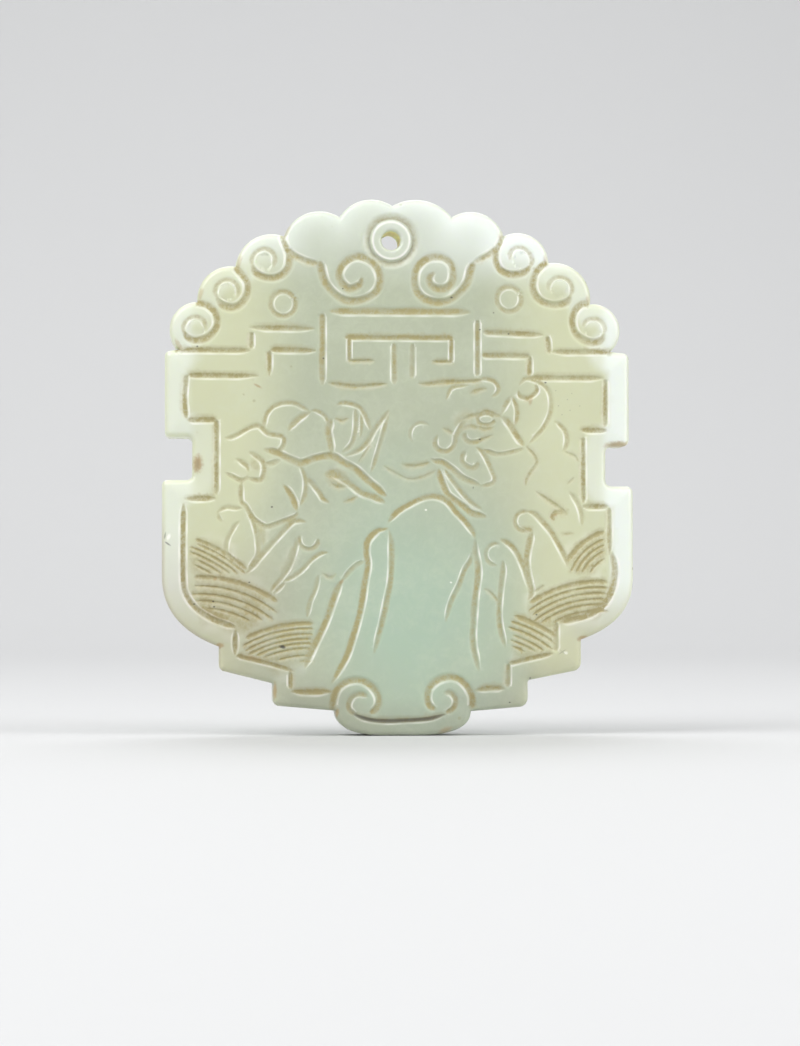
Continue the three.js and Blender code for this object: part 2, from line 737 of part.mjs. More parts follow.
/** The cuts that both faces share. */
function sharedCuts() {
  return [
    ...curlCuts(LEFT, LEFT_CREST, LEFT_CURLS),
    ...curlCuts(RIGHT, RIGHT_CREST, RIGHT_CURLS),
    ...headCuts(LEFT, LEFT_CREST, LEFT_HEAD),
    ...headCuts(RIGHT, RIGHT_CREST, RIGHT_HEAD),
    ...tabletCuts(),
    ...frameCuts(LEFT, LEFT_CREST),
    ...frameCuts(RIGHT, RIGHT_CREST),
    scrollCut(LEFT, LEFT_SCROLL),
    scrollCut(RIGHT, RIGHT_SCROLL),
    soleCut(),
  ];
}

/** The plaque: the blank with its hole drilled and both faces cut. */
function carvedPlaque() {
  const front = 1;
  const back = -1;
  const hole = at(HOLE.x, SHOULDER + HOLE.rise);
  const beads = [
    at(-LEFT_BEAD.x, SHOULDER + LEFT_BEAD.rise),
    at(RIGHT_BEAD.x, SHOULDER + RIGHT_BEAD.rise),
  ];
  let stone = blank().subtract(drill(hole));
  for (const face of [front, back]) {
    const ownCuts = face === front ? frontCuts() : reverseCuts();
    for (const cut of [...sharedCuts(), ...ownCuts]) {
      stone = stone.subtract(cutter(cut, face));
    }
    stone = stone.subtract(ringCutter(hole, RING_RADIUS + RING_CUT / 2, RING_CUT, CUT_DEPTH, face));
    for (const bead of beads) {
      stone = stone.subtract(ringCutter(bead, BEAD_RADIUS, FINE_WIDTH, FINE_DEPTH, face));
    }
  }
  const geometry = geometryOf(stone);
  geometry.rotateX(Math.PI / 2);
  return geometry;
}

const jade = new THREE.MeshStandardMaterial({ color: 0xc3cfb8, roughness: 0.34, metalness: 0 });
const plaque = new THREE.Mesh(carvedPlaque(), jade);
plaque.name = "carved_plaque";

const object = new THREE.Group();
object.add(plaque);

export default object;
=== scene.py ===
"""Carved nephrite pendant plaque: one flat stone, lobed, notched and stepped, wheel-cut on both faces.

Sizes are millimetres in the plane of the front face, x to the right and z up, with z = 0 under the foot.
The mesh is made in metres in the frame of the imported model, front towards -Y.
"""
import logging
import math
from collections.abc import Iterable, Iterator
from dataclasses import dataclass, field, replace
from enum import Enum
from functools import cache

import bpy
import numpy as np
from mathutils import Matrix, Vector
from mathutils.geometry import delaunay_2d_cdt


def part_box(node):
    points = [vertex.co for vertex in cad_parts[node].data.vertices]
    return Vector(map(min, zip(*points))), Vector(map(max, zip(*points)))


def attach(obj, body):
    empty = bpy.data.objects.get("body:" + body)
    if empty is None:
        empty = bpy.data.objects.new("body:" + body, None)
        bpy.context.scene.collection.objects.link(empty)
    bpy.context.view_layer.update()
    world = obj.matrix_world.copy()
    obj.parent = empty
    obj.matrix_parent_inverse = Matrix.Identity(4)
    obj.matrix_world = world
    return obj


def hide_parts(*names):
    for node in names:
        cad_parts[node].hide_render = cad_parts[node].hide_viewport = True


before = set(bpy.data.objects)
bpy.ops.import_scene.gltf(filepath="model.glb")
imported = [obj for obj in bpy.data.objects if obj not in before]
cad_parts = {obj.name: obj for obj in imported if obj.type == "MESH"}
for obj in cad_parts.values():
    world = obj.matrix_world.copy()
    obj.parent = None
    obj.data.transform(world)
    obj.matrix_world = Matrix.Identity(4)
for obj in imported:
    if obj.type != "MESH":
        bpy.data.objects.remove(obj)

LOG = logging.getLogger("plaque")
MM = 0.001
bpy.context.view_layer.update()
NODE = "carved_plaque"
BODY = "root"
THICKNESS = (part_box(NODE)[1].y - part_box(NODE)[0].y) / MM
HALF_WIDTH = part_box(NODE)[1].x / MM
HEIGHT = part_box(NODE)[1].z / MM

Array = np.ndarray
Point = tuple[float, float]
Path = tuple[float, ...]  # x and z of each point in turn


class Face(Enum):
    """The two carved faces and the way each looks along Y."""

    FRONT = -1.0
    REVERSE = 1.0


@dataclass(frozen=True)
class Wall:
    """How one wall of a cut rises from its floor.

    Attributes:
        width: its share of the cut's width.
        level: power that keeps the floor level, high for a flat floor.
        crisp: power at the top edge, low for a crisp edge.
        spread: how far earth lies across it, in shares of its width.
        painted_highlight: strength of the painted highlight along its top edge.
        rows: where the mesh follows it, in shares of its width.
    """

    width: float
    level: float
    crisp: float
    spread: float
    painted_highlight: float
    rows: tuple[float, ...]


# The fifth value of each wall is the strength of the painted highlight along its top edge.
STEEP = Wall(1.0, 5.0, 1.1, 1.0, 1.0, (0.62, 0.94, 1.3, 1.68))
ROUND = Wall(1.0, 2.0, 1.4, 1.2, 0.3, (0.5, 1.0))
GENTLE = Wall(2.0, 2.0, 2.0, 0.62, 0.0, (0.33, 0.66, 1.0))


class Bank(Enum):
    """The walls of a cut to the left and right of its way."""

    EVEN = (ROUND, ROUND)
    LEFT = (STEEP, GENTLE)
    RIGHT = (GENTLE, STEEP)
    LEFT_EDGE = (STEEP, ROUND)
    RIGHT_EDGE = (ROUND, STEEP)
    TRENCH = (STEEP, STEEP)


EVEN, LEFT, RIGHT, LEFT_EDGE, RIGHT_EDGE, TRENCH = Bank


@dataclass(frozen=True)
class Cut:
    """One pass of the cutting wheel along a path.

    Attributes:
        path: x and z of each point that the wheel goes through, in turn.
        wide: half of the groove's width.
        depth: depth at the middle of the stroke.
        bank: which wall is steep.
        stain: how much earth has stayed in the groove, 0 to 1.
        darkening: how far the groove is darkened toward grey-black, 0 to 1.
        taper: length over which the end runs out.
        lead: length over which the start runs in, the same as the taper where it is not given.
        straight: true where the points are joined by straight lines.
    """

    path: Path
    wide: float = 0.3
    depth: float = 0.28
    bank: Bank = EVEN
    stain: float = 0.6
    taper: float = 1.1
    lead: float | None = None
    darkening: float = 0.0
    straight: bool = False

    def points(self, spacing: float = 0.18) -> Array:
        """The path as close points.

        Args:
            spacing: greatest distance between two points.

        Returns:
            An array of points, one row each.
        """
        knots = np.reshape(np.array(self.path, float), (-1, 2))
        if self.straight or len(knots) == 2:
            return densify(knots, spacing)
        return smooth_through(knots, spacing)


def densify(knots: Array, spacing: float) -> Array:
    """Points along straight lines between knots.

    Args:
        knots: corners of the line.
        spacing: greatest distance between two points.

    Returns:
        The corners with points between them.
    """
    rows = [knots[:1]]
    for a, b in zip(knots[:-1], knots[1:]):
        count = max(1, math.ceil(float(np.hypot(*(b - a))) / spacing))
        share = np.arange(1, count + 1)[:, None] / count
        rows.append(a + (b - a) * share)
    return np.vstack(rows)


def smooth_through(knots: Array, spacing: float) -> Array:
    """Points along a smooth curve through knots (Catmull-Rom).

    Args:
        knots: points that the curve goes through.
        spacing: greatest distance between two points.

    Returns:
        Points along the curve.
    """
    padded = np.vstack([2 * knots[0] - knots[1], knots, 2 * knots[-1] - knots[-2]])
    rows = [knots[:1]]
    for p0, p1, p2, p3 in zip(padded[:-3], padded[1:-2], padded[2:-1], padded[3:]):
        count = max(1, math.ceil(float(np.hypot(*(p2 - p1))) / spacing))
        t = np.arange(1, count + 1)[:, None] / count
        rows.append(0.5 * (
            2 * p1 + (p2 - p0) * t
            + (2 * p0 - 5 * p1 + 4 * p2 - p3) * t ** 2
            + (3 * p1 - p0 - 3 * p2 + p3) * t ** 3
        ))
    return np.vstack(rows)


def oval(centre: Point, across: float, rise: float, angles: Array) -> Path:
    """Points of an oval.

    Args:
        centre: middle of the oval.
        across: half of its width.
        rise: half of its height.
        angles: where the points lie, in radians.

    Returns:
        The points in order.
    """
    x, z = centre
    return tuple(n for a in angles.tolist() for n in (x + across * math.cos(a), z + rise * math.sin(a)))


def arc(centre: Point, radius: float, start: float, end: float, count: int = 12) -> Path:
    """Points of a round arc.

    Args:
        centre: middle of the circle.
        radius: its radius.
        start: first angle in degrees.
        end: last angle in degrees.
        count: number of steps.

    Returns:
        The points in order.
    """
    return oval(centre, radius, radius, np.radians(np.linspace(start, end, count + 1)))


@dataclass(frozen=True)
class Ornament:
    """A part of the carving that is a plain table of strokes, each a row of the fields of a cut."""

    strokes: tuple[tuple, ...]

    def cuts(self) -> Iterator[Cut]:
        """Every stroke, in the order of the work."""
        return (Cut(*row) for row in self.strokes)


@dataclass(frozen=True)
class Side:
    """Sizes of one side of the outline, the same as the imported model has."""

    outward: float
    foot_flat: float
    foot_half: float
    foot_joint: float
    foot_knee: float
    base_tread: float
    base_slope: float
    low_wall: float
    low_tread: float
    low_slope: float
    high_wall: float
    flank_knee: float
    flank_rise: float
    notch_drop: float
    notch_height: float
    notch_depth: float
    block_inset: float
    block_tilt: float
    corner_round: float
    step_round: float


LEFT_SIDE = Side(
    outward=-1, foot_flat=2.2, foot_half=7.1, foot_joint=2.8, foot_knee=0.25, base_tread=6.95,
    base_slope=0.6, low_wall=2.45, low_tread=6.0, low_slope=1.5, high_wall=2.6, flank_knee=2.35,
    flank_rise=7.85, notch_drop=9.7, notch_height=4.8, notch_depth=3.35, block_inset=0.3,
    block_tilt=0.2, corner_round=0.6, step_round=0.7,
)
RIGHT_SIDE = Side(
    outward=1, foot_flat=3.0, foot_half=8.1, foot_joint=2.7, foot_knee=0.3, base_tread=6.4,
    base_slope=0.55, low_wall=2.9, low_tread=6.0, low_slope=1.2, high_wall=3.35, flank_knee=2.0,
    flank_rise=6.9, notch_drop=10.6, notch_height=4.5, notch_depth=3.1, block_inset=0.45,
    block_tilt=0.2, corner_round=0.7, step_round=1.0,
)
SHOULDER = 43.0
INNER_ROUND = 0.3
CREST_TOP = (-0.7, 59.3)
LEFT_CLEFTS = ((-24.6, 43.05), (-22.5, 48.35), (-18.25, 52.35), (-12.85, 55.8), (-6.65, 58.0))
LEFT_BOWS = (1.95, 1.4, 1.55, 1.58, 1.28)
RIGHT_CLEFTS = ((23.85, 43.05), (21.6, 48.4), (16.9, 53.0), (11.85, 56.0), (6.0, 58.1))
RIGHT_BOWS = (2.15, 1.62, 1.6, 1.52, 1.25)


@dataclass(frozen=True)
class Corner:
    """A corner of the outline with its rounding, and the bow or knee of the edge that comes up to it."""

    point: Point
    round: float = 0.0
    bow: float = 0.0
    knee: Point | None = None


@dataclass
class Outline:
    """The edge of the plaque, run round with the stone on the left."""

    spacing: float = 0.28
    points: Array = field(init=False)
    clefts: Array = field(init=False)

    def __post_init__(self) -> None:
        """Work out the closed line and its clefts."""
        self.clefts = np.array([*LEFT_CLEFTS[1:], CREST_TOP, *RIGHT_CLEFTS[1:]])
        self.points = self._line(self._corners())
        self.points[:, 1] = np.minimum(self.points[:, 1], HEIGHT)

    def _side(self, side: Side, clefts: tuple[Point, ...], bows: tuple[float, ...]) -> list[Corner]:
        """Corners of one side from the foot to the last cleft.

        Args:
            side: its measures.
            clefts: its clefts, upwards.
            bows: how far each lobe bows out.

        Returns:
            The corners.
        """
        s = side.outward
        low_x = side.foot_half + side.base_tread
        low_foot = side.foot_joint + side.base_slope
        low_top = low_foot + side.low_wall
        high_x = low_x + side.low_tread
        high_foot = low_top + side.low_slope
        high_top = high_foot + side.high_wall
        notch_top = SHOULDER - side.notch_drop
        notch_floor = notch_top - side.notch_height
        notch_x = HALF_WIDTH - side.notch_depth
        block_x = HALF_WIDTH - side.block_inset
        flank_top = high_top + side.flank_rise
        turn = side.corner_round
        corners = [
            Corner((s * side.foot_flat, 0)),
            Corner((s * side.foot_half, side.foot_joint), knee=(s * side.foot_half, side.foot_knee)),
            Corner((s * low_x, low_foot), side.step_round),
            Corner((s * low_x, low_top), INNER_ROUND),
            Corner((s * high_x, high_foot), side.step_round),
            Corner((s * high_x, high_top)),
            Corner((s * HALF_WIDTH, flank_top), knee=(s * HALF_WIDTH, high_top + side.flank_knee)),
            Corner((s * HALF_WIDTH, notch_floor), turn),
            Corner((s * notch_x, notch_floor), turn),
            Corner((s * notch_x, notch_top), turn),
            Corner((s * block_x, notch_top), turn),
            Corner((s * block_x, SHOULDER - side.block_tilt), turn),
        ]
        for cleft, bow in zip(clefts, (0.0, *bows)):
            corners.append(Corner(cleft, bow=bow))
        return corners

    def _corners(self) -> list[Corner]:
        """Corners of the whole outline: up the right side and down the left."""
        right = self._side(RIGHT_SIDE, RIGHT_CLEFTS, RIGHT_BOWS)
        left = self._side(LEFT_SIDE, LEFT_CLEFTS, LEFT_BOWS)
        corners = [*right, Corner(CREST_TOP, bow=RIGHT_BOWS[-1])]
        bow, knee = LEFT_BOWS[-1], None
        for here in reversed(left):
            corners.append(Corner(here.point, here.round, bow, knee))
            bow, knee = here.bow, here.knee
        return corners

    def _line(self, corners: list[Corner]) -> Array:
        """Close points along the edges and roundings between the corners."""
        count = len(corners)
        spots = [np.array(c.point, float) for c in corners]
        turns = [self._rounding(spots[i - 1], corners[i], spots[(i + 1) % count]) for i in range(count)]
        rows: list[Array] = []
        for i, corner in enumerate(corners):
            start, end = turns[i - 1][-1], turns[i][0]
            if corner.bow > 0:
                edge = self._bow(start, end, corner.bow)
            elif corner.knee:
                t = np.linspace(0, 1, 40)[:, None]
                knee = np.array(corner.knee)
                edge = (1 - t) ** 2 * start + 2 * t * (1 - t) * knee + t ** 2 * end
            else:
                edge = np.vstack([start, end])
            rows.append(resample(edge, self.spacing)[1:])
            if len(turns[i]) > 1:
                rows.append(resample(turns[i], self.spacing * 0.6)[1:])
        return np.vstack(rows)

    @staticmethod
    def _rounding(before: Array, corner: Corner, after: Array) -> Array:
        """Points of the arc that rounds a corner, or the corner itself where it is sharp.

        Args:
            before: the corner before it.
            corner: the corner.
            after: the corner after it.

        Returns:
            The points, one row each.
        """
        here = np.array(corner.point, float)
        if corner.round == 0:
            return here[None, :]
        way_in = (here - before) / np.hypot(*(here - before))
        way_out = (after - here) / np.hypot(*(after - here))
        turn = math.atan2(way_in[0] * way_out[1] - way_in[1] * way_out[0], float(way_in @ way_out))
        enter = here - way_in * corner.round * math.tan(abs(turn) / 2)
        side = math.copysign(1, turn)
        centre = enter + np.array([-way_in[1], way_in[0]]) * side * corner.round
        first = math.atan2(enter[1] - centre[1], enter[0] - centre[0])
        angles = first + np.linspace(0, turn, 12)
        return centre + corner.round * np.stack([np.cos(angles), np.sin(angles)], axis=1)

    @staticmethod
    def _bow(start: Array, end: Array, bow: float) -> Array:
        """Points of the arc between two points that bows out to the right of its way.

        Args:
            start: first end.
            end: last end.
            bow: how far it bows out.

        Returns:
            The points, one row each.
        """
        chord = end - start
        half = float(np.hypot(*chord)) / 2
        radius = (half * half + bow * bow) / (2 * bow)
        outward = np.array([chord[1], -chord[0]]) / (2 * half)
        centre = (start + end) / 2 + outward * (bow - radius)
        first = math.atan2(*(start - centre)[::-1])
        last = math.atan2(*(end - centre)[::-1])
        angles = np.linspace(first, last + (2 * math.pi if last < first else 0), 60)
        return centre + radius * np.stack([np.cos(angles), np.sin(angles)], axis=1)


def resample(line: Array, spacing: float) -> Array:
    """Evenly spaced points along a line of close points.

    Args:
        line: the points.
        spacing: greatest distance between two new points.

    Returns:
        The new points, with the same ends.
    """
    steps = np.hypot(*np.diff(line, axis=0).T)
    along = np.concatenate([[0], np.cumsum(steps)])
    count = max(1, math.ceil(along[-1] / spacing))
    marks = np.linspace(0, along[-1], count + 1)
    return np.stack([np.interp(marks, along, line[:, k]) for k in (0, 1)], axis=1)


@dataclass(frozen=True)
class Hand:
    """How unevenly the wheel is led, and how strongly the rims get a painted highlight.

    Attributes:
        longest_run: longest run-in, as a share of the stroke.
        shortest_run: shortest run-in.
        sway: unevenness of the gentle side's width.
        tip: width left at the tip of a stroke, as a share.
        pitches: least and most turns of the unevenness along a stroke, in radians for a millimetre.
        phases: least and most start of the unevenness, in radians.
        highlight_strength: mean wear of the rims.
        highlight_sway: unevenness of the wear.
        highlight_pitch: how much quicker the wear changes than the width.
        reach: how far a stroke tells, in widths.
        earth_fall: power of the fall of the earth across a stroke.
        earth_power: power of the stain of a stroke.
        faced: wear of a rim whichever way it looks.
        downward: wear of a rim that looks down, as a share of one that looks aside.
        lip_full: wear at the middle of a lip, cut off at 1.
        lip_at: where the lip lies, in widths.
        lip_half: half of the lip's breadth, in widths.
        lip_sunk: how far down the wear reaches.
    """

    longest_run: float = 0.48
    shortest_run: float = 1e-3
    sway: float = 0.1
    tip: float = 0.3
    pitches: Point = (0.9, 1.7)
    phases: Point = (0, 6.3)
    # highlight_strength: mean strength of the painted highlight on the rims. highlight_sway: unevenness of the
    # painted highlight. highlight_pitch: how much quicker the painted highlight changes than the width.
    highlight_strength: float = 0.72
    highlight_sway: float = 0.28
    highlight_pitch: float = 1.7
    reach: float = 1.6
    earth_fall: float = 3
    earth_power: float = 0.75
    # faced: painted highlight of a rim whichever way it looks. downward: painted highlight of a rim that looks
    # down, as a share of one that looks aside. lip_full: painted highlight at its middle, cut off at 1.
    faced: float = 0.12
    downward: float = 0.5
    lip_full: float = 1.15
    lip_at: float = 1.22
    lip_half: float = 0.38
    # lip_sunk: how far down the painted highlight reaches.
    lip_sunk: float = 1.4


HAND = Hand()


@dataclass
class Stroke:
    """A cut as the hand makes it: its line, its run-out at the ends and its wavering width."""

    cut: Cut
    pitch: float
    phase: float
    line: Array = field(init=False)
    length: float = field(init=False)

    def __post_init__(self) -> None:
        """Draw the line and measure it."""
        self.line = self.cut.points()
        self.length = float(np.hypot(*np.diff(self.line, axis=0).T).sum())

    def share(self, along: Array) -> Array:
        """Share of the full depth at distances along the line."""
        cut = self.cut
        ends = (along, cut.taper if cut.lead is None else cut.lead), (self.length - along, cut.taper)
        rise = np.ones_like(along)
        for distance, run in ends:
            run = max(min(run, self.length * HAND.longest_run), HAND.shortest_run)
            rise = np.minimum(rise, np.sin(np.pi / 2 * np.clip(distance / run, 0, 1)))
        return rise

    def waver(self, along: Array) -> Array:
        """Unevenness of the gentle side at distances along the line."""
        return 1 + HAND.sway * np.sin(along * self.pitch + self.phase)

    def highlight_strength(self, along: Array) -> Array:
        """How strong the painted highlight on the rims is at distances along the line."""
        swing = np.sin(along * self.pitch * HAND.highlight_pitch + 2 * self.phase)
        return self.share(along) * (HAND.highlight_strength + HAND.highlight_sway * swing)

    def widths(self, along: Array) -> tuple[Array, Array]:
        """Widths to the left and right at distances along the line.

        Args:
            along: the distances.

        Returns:
            The width to the left and to the right at each.
        """
        wide = self.cut.wide * (HAND.tip + (1 - HAND.tip) * self.share(along))
        left, right = (
            wide * wall.width * (self.waver(along) if wall.painted_highlight < 1 else 1) for wall in self.cut.bank.value)
        return left, right

    def marks(self, spacing: float = 0.26) -> Array:
        """Points of the mesh that follow the stroke: its floor, its walls and their edges.

        Args:
            spacing: distance between points along the stroke.

        Returns:
            The points, the floor's first.
        """
        line = resample(self.line, spacing)
        if len(line) < 2:
            return line
        way = np.gradient(line, axis=0)
        aside = np.stack([-way[:, 1], way[:, 0]], axis=1) / np.maximum(np.hypot(*way.T), 1e-9)[:, None]
        along = np.linspace(0, self.length, len(line))
        rows = [line]
        for side, wall, wide in zip((1, -1), self.cut.bank.value, self.widths(along)):
            rows += [line + side * aside * (wide * share)[:, None] for share in wall.rows]
        return np.vstack(rows)


@dataclass
class Relief:
    """Depths cut into one face, on fine samples over the box round the outline."""

    step: float = 0.05
    margin: float = 0.4
    top: float = 60.2
    shallow: float = 0.52
    sunk: float = 0.08
    depth: Array = field(init=False)
    stain: Array = field(init=False)
    # Strength of the painted highlight along the rims of the cuts.
    painted_highlight: Array = field(init=False)
    darkening: Array = field(init=False)
    xs: Array = field(init=False)
    zs: Array = field(init=False)
    marks: list[Array] = field(default_factory=list)

    def __post_init__(self) -> None:
        """Lay out the empty samples."""
        reach = HALF_WIDTH + self.margin
        self.xs = np.arange(-reach, reach + self.step, self.step)
        self.zs = np.arange(-self.margin, self.top + self.margin, self.step)
        shape = (len(self.zs), len(self.xs))
        self.depth = np.zeros(shape)
        self.stain = np.zeros(shape)
        self.painted_highlight = np.zeros(shape)
        self.darkening = np.zeros(shape)

    def window(self, low: Array, high: Array, reach: float) -> tuple[slice, slice]:
        """Rows and columns of the samples within reach of a box.

        Args:
            low: lowest corner of the box.
            high: highest corner of the box.
            reach: how far past the box to go.

        Returns:
            The slices of rows and columns.
        """
        cells = []
        for k, axis in ((1, self.zs), (0, self.xs)):
            first = int(np.clip((low[k] - reach - axis[0]) / self.step, 0, len(axis) - 1))
            last = int(np.clip((high[k] + reach - axis[0]) / self.step + 2, 1, len(axis)))
            cells.append(slice(first, max(last, first + 1)))
        return cells[0], cells[1]

    def nearest(self, line: Array, reach: float) -> "Nearest":
        """For each sample round a line, how far the line is, how far along, and on which side.

        Args:
            line: close points of the line.
            reach: farthest distance of interest.

        Returns:
            The samples' window and their distances.
        """
        rows, cols = self.window(line.min(0), line.max(0), reach)
        shape = (rows.stop - rows.start, cols.stop - cols.start)
        best = np.full(shape, reach * reach)
        along = np.zeros(shape)
        side = np.zeros(shape)
        run = 0.0
        for a, b in zip(line[:-1], line[1:]):
            way = b - a
            length = float(np.hypot(*way))
            if length < 1e-9:
                continue
            r, c = self.window(np.minimum(a, b), np.maximum(a, b), reach)
            part = (slice(r.start - rows.start, r.stop - rows.start),
                    slice(c.start - cols.start, c.stop - cols.start))
            dx = self.xs[c][None, :] - a[0]
            dz = self.zs[r][:, None] - a[1]
            share = np.clip((dx * way[0] + dz * way[1]) / length ** 2, 0, 1)
            distance = (dx - share * way[0]) ** 2 + (dz - share * way[1]) ** 2
            closer = distance < best[part]
            best[part] = np.where(closer, distance, best[part])
            along[part] = np.where(closer, run + share * length, along[part])
            side[part] = np.where(closer, way[0] * dz - way[1] * dx, side[part])
            run += length
        return Nearest((rows, cols), np.sqrt(best), along, np.sign(side))

    def carve(self, cuts: Iterable[Cut], seed: int) -> None:
        """Cut strokes into the face, each a little uneven in width as a hand leaves it.

        Args:
            cuts: the strokes.
            seed: seed of the unevenness.
        """
        draw = np.random.default_rng(seed)
        for cut in cuts:
            stroke = Stroke(cut, draw.uniform(*HAND.pitches), draw.uniform(*HAND.phases))
            near = self.nearest(stroke.line, HAND.reach * cut.wide * max(wall.width for wall in cut.bank.value))
            on_left = near.side > 0
            level, crisp, spread, highlight_strength = (
                np.where(on_left, *(getattr(wall, name) for wall in cut.bank.value))
                for name in ("level", "crisp", "spread", "painted_highlight"))
            reach = near.distance / np.where(on_left, *stroke.widths(near.along))
            share = stroke.share(near.along)
            bowl = np.clip(1 - reach ** level, 0, 1) ** crisp
            window = near.window
            self.depth[window] = np.maximum(self.depth[window], self.shallow * cut.depth * share * bowl)
            fall = np.clip(1 - (reach / spread) ** HAND.earth_fall, 0, 1)
            earth = fall * np.sqrt(share) * cut.stain ** HAND.earth_power
            self.stain[window] = np.maximum(self.stain[window], earth)
            if cut.darkening:
                dark = np.clip(1 - reach ** 2, 0, 1) * np.sqrt(share) * cut.darkening
                self.darkening[window] = np.maximum(self.darkening[window], dark)
            # Painted highlight: a pale band along the rims of each cut, strongest where the rim faces aside
            # toward the lamps, and fading where the cut is deep.
            out_z, out_x = np.gradient(near.distance, self.step)
            turned = np.clip(np.maximum(np.abs(out_x), -HAND.downward * out_z), 0, 1)
            faced = HAND.faced + (1 - HAND.faced) * turned
            painted_highlight = np.clip(HAND.lip_full - np.abs(reach - HAND.lip_at) / HAND.lip_half, 0, 1)
            painted_highlight = painted_highlight * stroke.highlight_strength(near.along) * highlight_strength * faced
            self.painted_highlight[window] = np.maximum(self.painted_highlight[window], painted_highlight)
            self.marks.append(stroke.marks())
        self.painted_highlight *= np.clip(HAND.lip_sunk - self.depth / self.sunk, 0, 1)

    def dome(self, centre: Point, radius: float, drop: float) -> None:
        """Round a button off, from its middle down to its rim.

        Args:
            centre: middle of the button.
            radius: its radius.
            drop: how far its rim lies below its middle.
        """
        middle = np.array(centre)
        rows, cols = self.window(middle, middle, radius)
        away = np.hypot(self.xs[cols][None, :] - middle[0], self.zs[rows][:, None] - middle[1]) / radius
        self.depth[rows, cols] = np.where(
            away < 1, np.maximum(self.depth[rows, cols], drop * away ** 2), self.depth[rows, cols])

    def sample(self, values: Array, points: Array) -> Array:
        """Values at any points, between the samples.

        Args:
            values: one value for each sample.
            points: the points, one row each.

        Returns:
            One value for each point.
        """
        u = np.clip((points[:, 0] - self.xs[0]) / self.step, 0, len(self.xs) - 1.001)
        v = np.clip((points[:, 1] - self.zs[0]) / self.step, 0, len(self.zs) - 1.001)
        i, j = v.astype(int), u.astype(int)
        fv, fu = v - i, u - j
        return ((values[i, j] * (1 - fu) + values[i, j + 1] * fu) * (1 - fv)
                + (values[i + 1, j] * (1 - fu) + values[i + 1, j + 1] * fu) * fv)


@dataclass(frozen=True)
class Nearest:
    """Where the samples of a window lie from a line."""

    window: tuple[slice, slice]
    distance: Array
    along: Array
    side: Array


def smooth_step(t: Array) -> Array:
    """A rise from 0 to 1 with level ends."""
    t = np.clip(t, 0, 1)
    return t * t * (3 - 2 * t)


def waves(x: Array, z: Array, scale: float, seed: int, count: int = 7) -> Array:
    """A soft uneven field between about -1 and 1, from a few crossed sine waves.

    Args:
        x: places across.
        z: places up.
        scale: usual size of a swell.
        seed: seed of its directions.
        count: number of waves.

    Returns:
        One value for each place.
    """
    draw = np.random.default_rng(seed)
    total = np.zeros(np.broadcast(x, z).shape)
    for _ in range(count):
        way, phase = draw.uniform(0, 2 * math.pi, 2)
        pitch = 2 * math.pi / (scale * draw.uniform(0.7, 1.6))
        total += np.sin(pitch * (x * math.cos(way) + z * math.sin(way)) + phase)
    return total / math.sqrt(count)


@dataclass(frozen=True)
class Curl:
    """A groove that winds round a button: the part from the cleft and the soft part that goes on inside it."""

    button: Point
    outer: Path
    inner: Path


LEFT_CURLS = (
    Curl((-22.45, 45.5), (-22.5, 48.4, -21.6, 48.2, -20.9, 47.8, -20.3, 47, -20.2, 45.8, -21, 44.7, -22.4, 44.2,
         -23.4, 44.5, -23.9, 45.3), (-23.7, 44.8, -23.9, 45.6, -23.5, 46.4, -22.6, 46.8, -21.7, 46.4, -21.4,
         45.4)),
    Curl((-19.05, 49.6), (-18.25, 52.4, -17.5, 51.6, -16.9, 50.8, -16.75, 50, -17, 49, -17.7, 48.2, -18.6, 47.9,
         -19.6, 48.2, -20.3, 49), (-20, 48.7, -20.35, 49.6, -19.9, 50.6, -18.9, 50.95, -18.05, 50.5, -17.8,
         49.7, -17.95, 48.9)),
    Curl((-14.95, 53), (-12.35, 54.5, -12.15, 53.6, -12.3, 52.4, -12.9, 51.6, -13.9, 51.2, -15, 51.3, -15.9,
         51.8, -16.25, 52.7), (-16.1, 52.2, -16.3, 53.1, -15.9, 54, -15, 54.45, -14.2, 54.2, -13.75, 53.4,
         -13.9, 52.3)),
)
RIGHT_CURLS = (
    Curl((22, 45.6), (21.6, 48.45, 20.9, 48.5, 20.2, 48, 19.7, 47, 19.7, 46, 20.1, 45.1, 20.9, 44.5, 22, 44.2,
         22.9, 44.5, 23.3, 45.3), (23.1, 44.8, 23.3, 45.7, 22.9, 46.5, 22.1, 46.85, 21.2, 46.6, 20.8, 45.8)),
    Curl((18.2, 50.2), (16.9, 53.1, 16.3, 52.8, 15.6, 52, 15.25, 51, 15.3, 50, 15.8, 49.1, 16.6, 48.6, 17.7,
         48.4, 18.9, 48.7, 19.5, 49.5), (19.3, 49.1, 19.6, 50.2, 19.2, 51.1, 18.4, 51.5, 17.5, 51.3, 17, 50.6,
         17, 49.9)),
    Curl((13.9, 53.35), (11.25, 54.9, 11.05, 54.2, 11.05, 53.2, 11.4, 52.4, 12.2, 51.9, 13.2, 51.8, 14.3, 52.1,
         15, 52.9), (14.7, 52.4, 15.1, 53.3, 14.8, 54.2, 14.1, 54.75, 13.3, 54.75, 12.7, 54.2, 12.65, 53.3)),
)


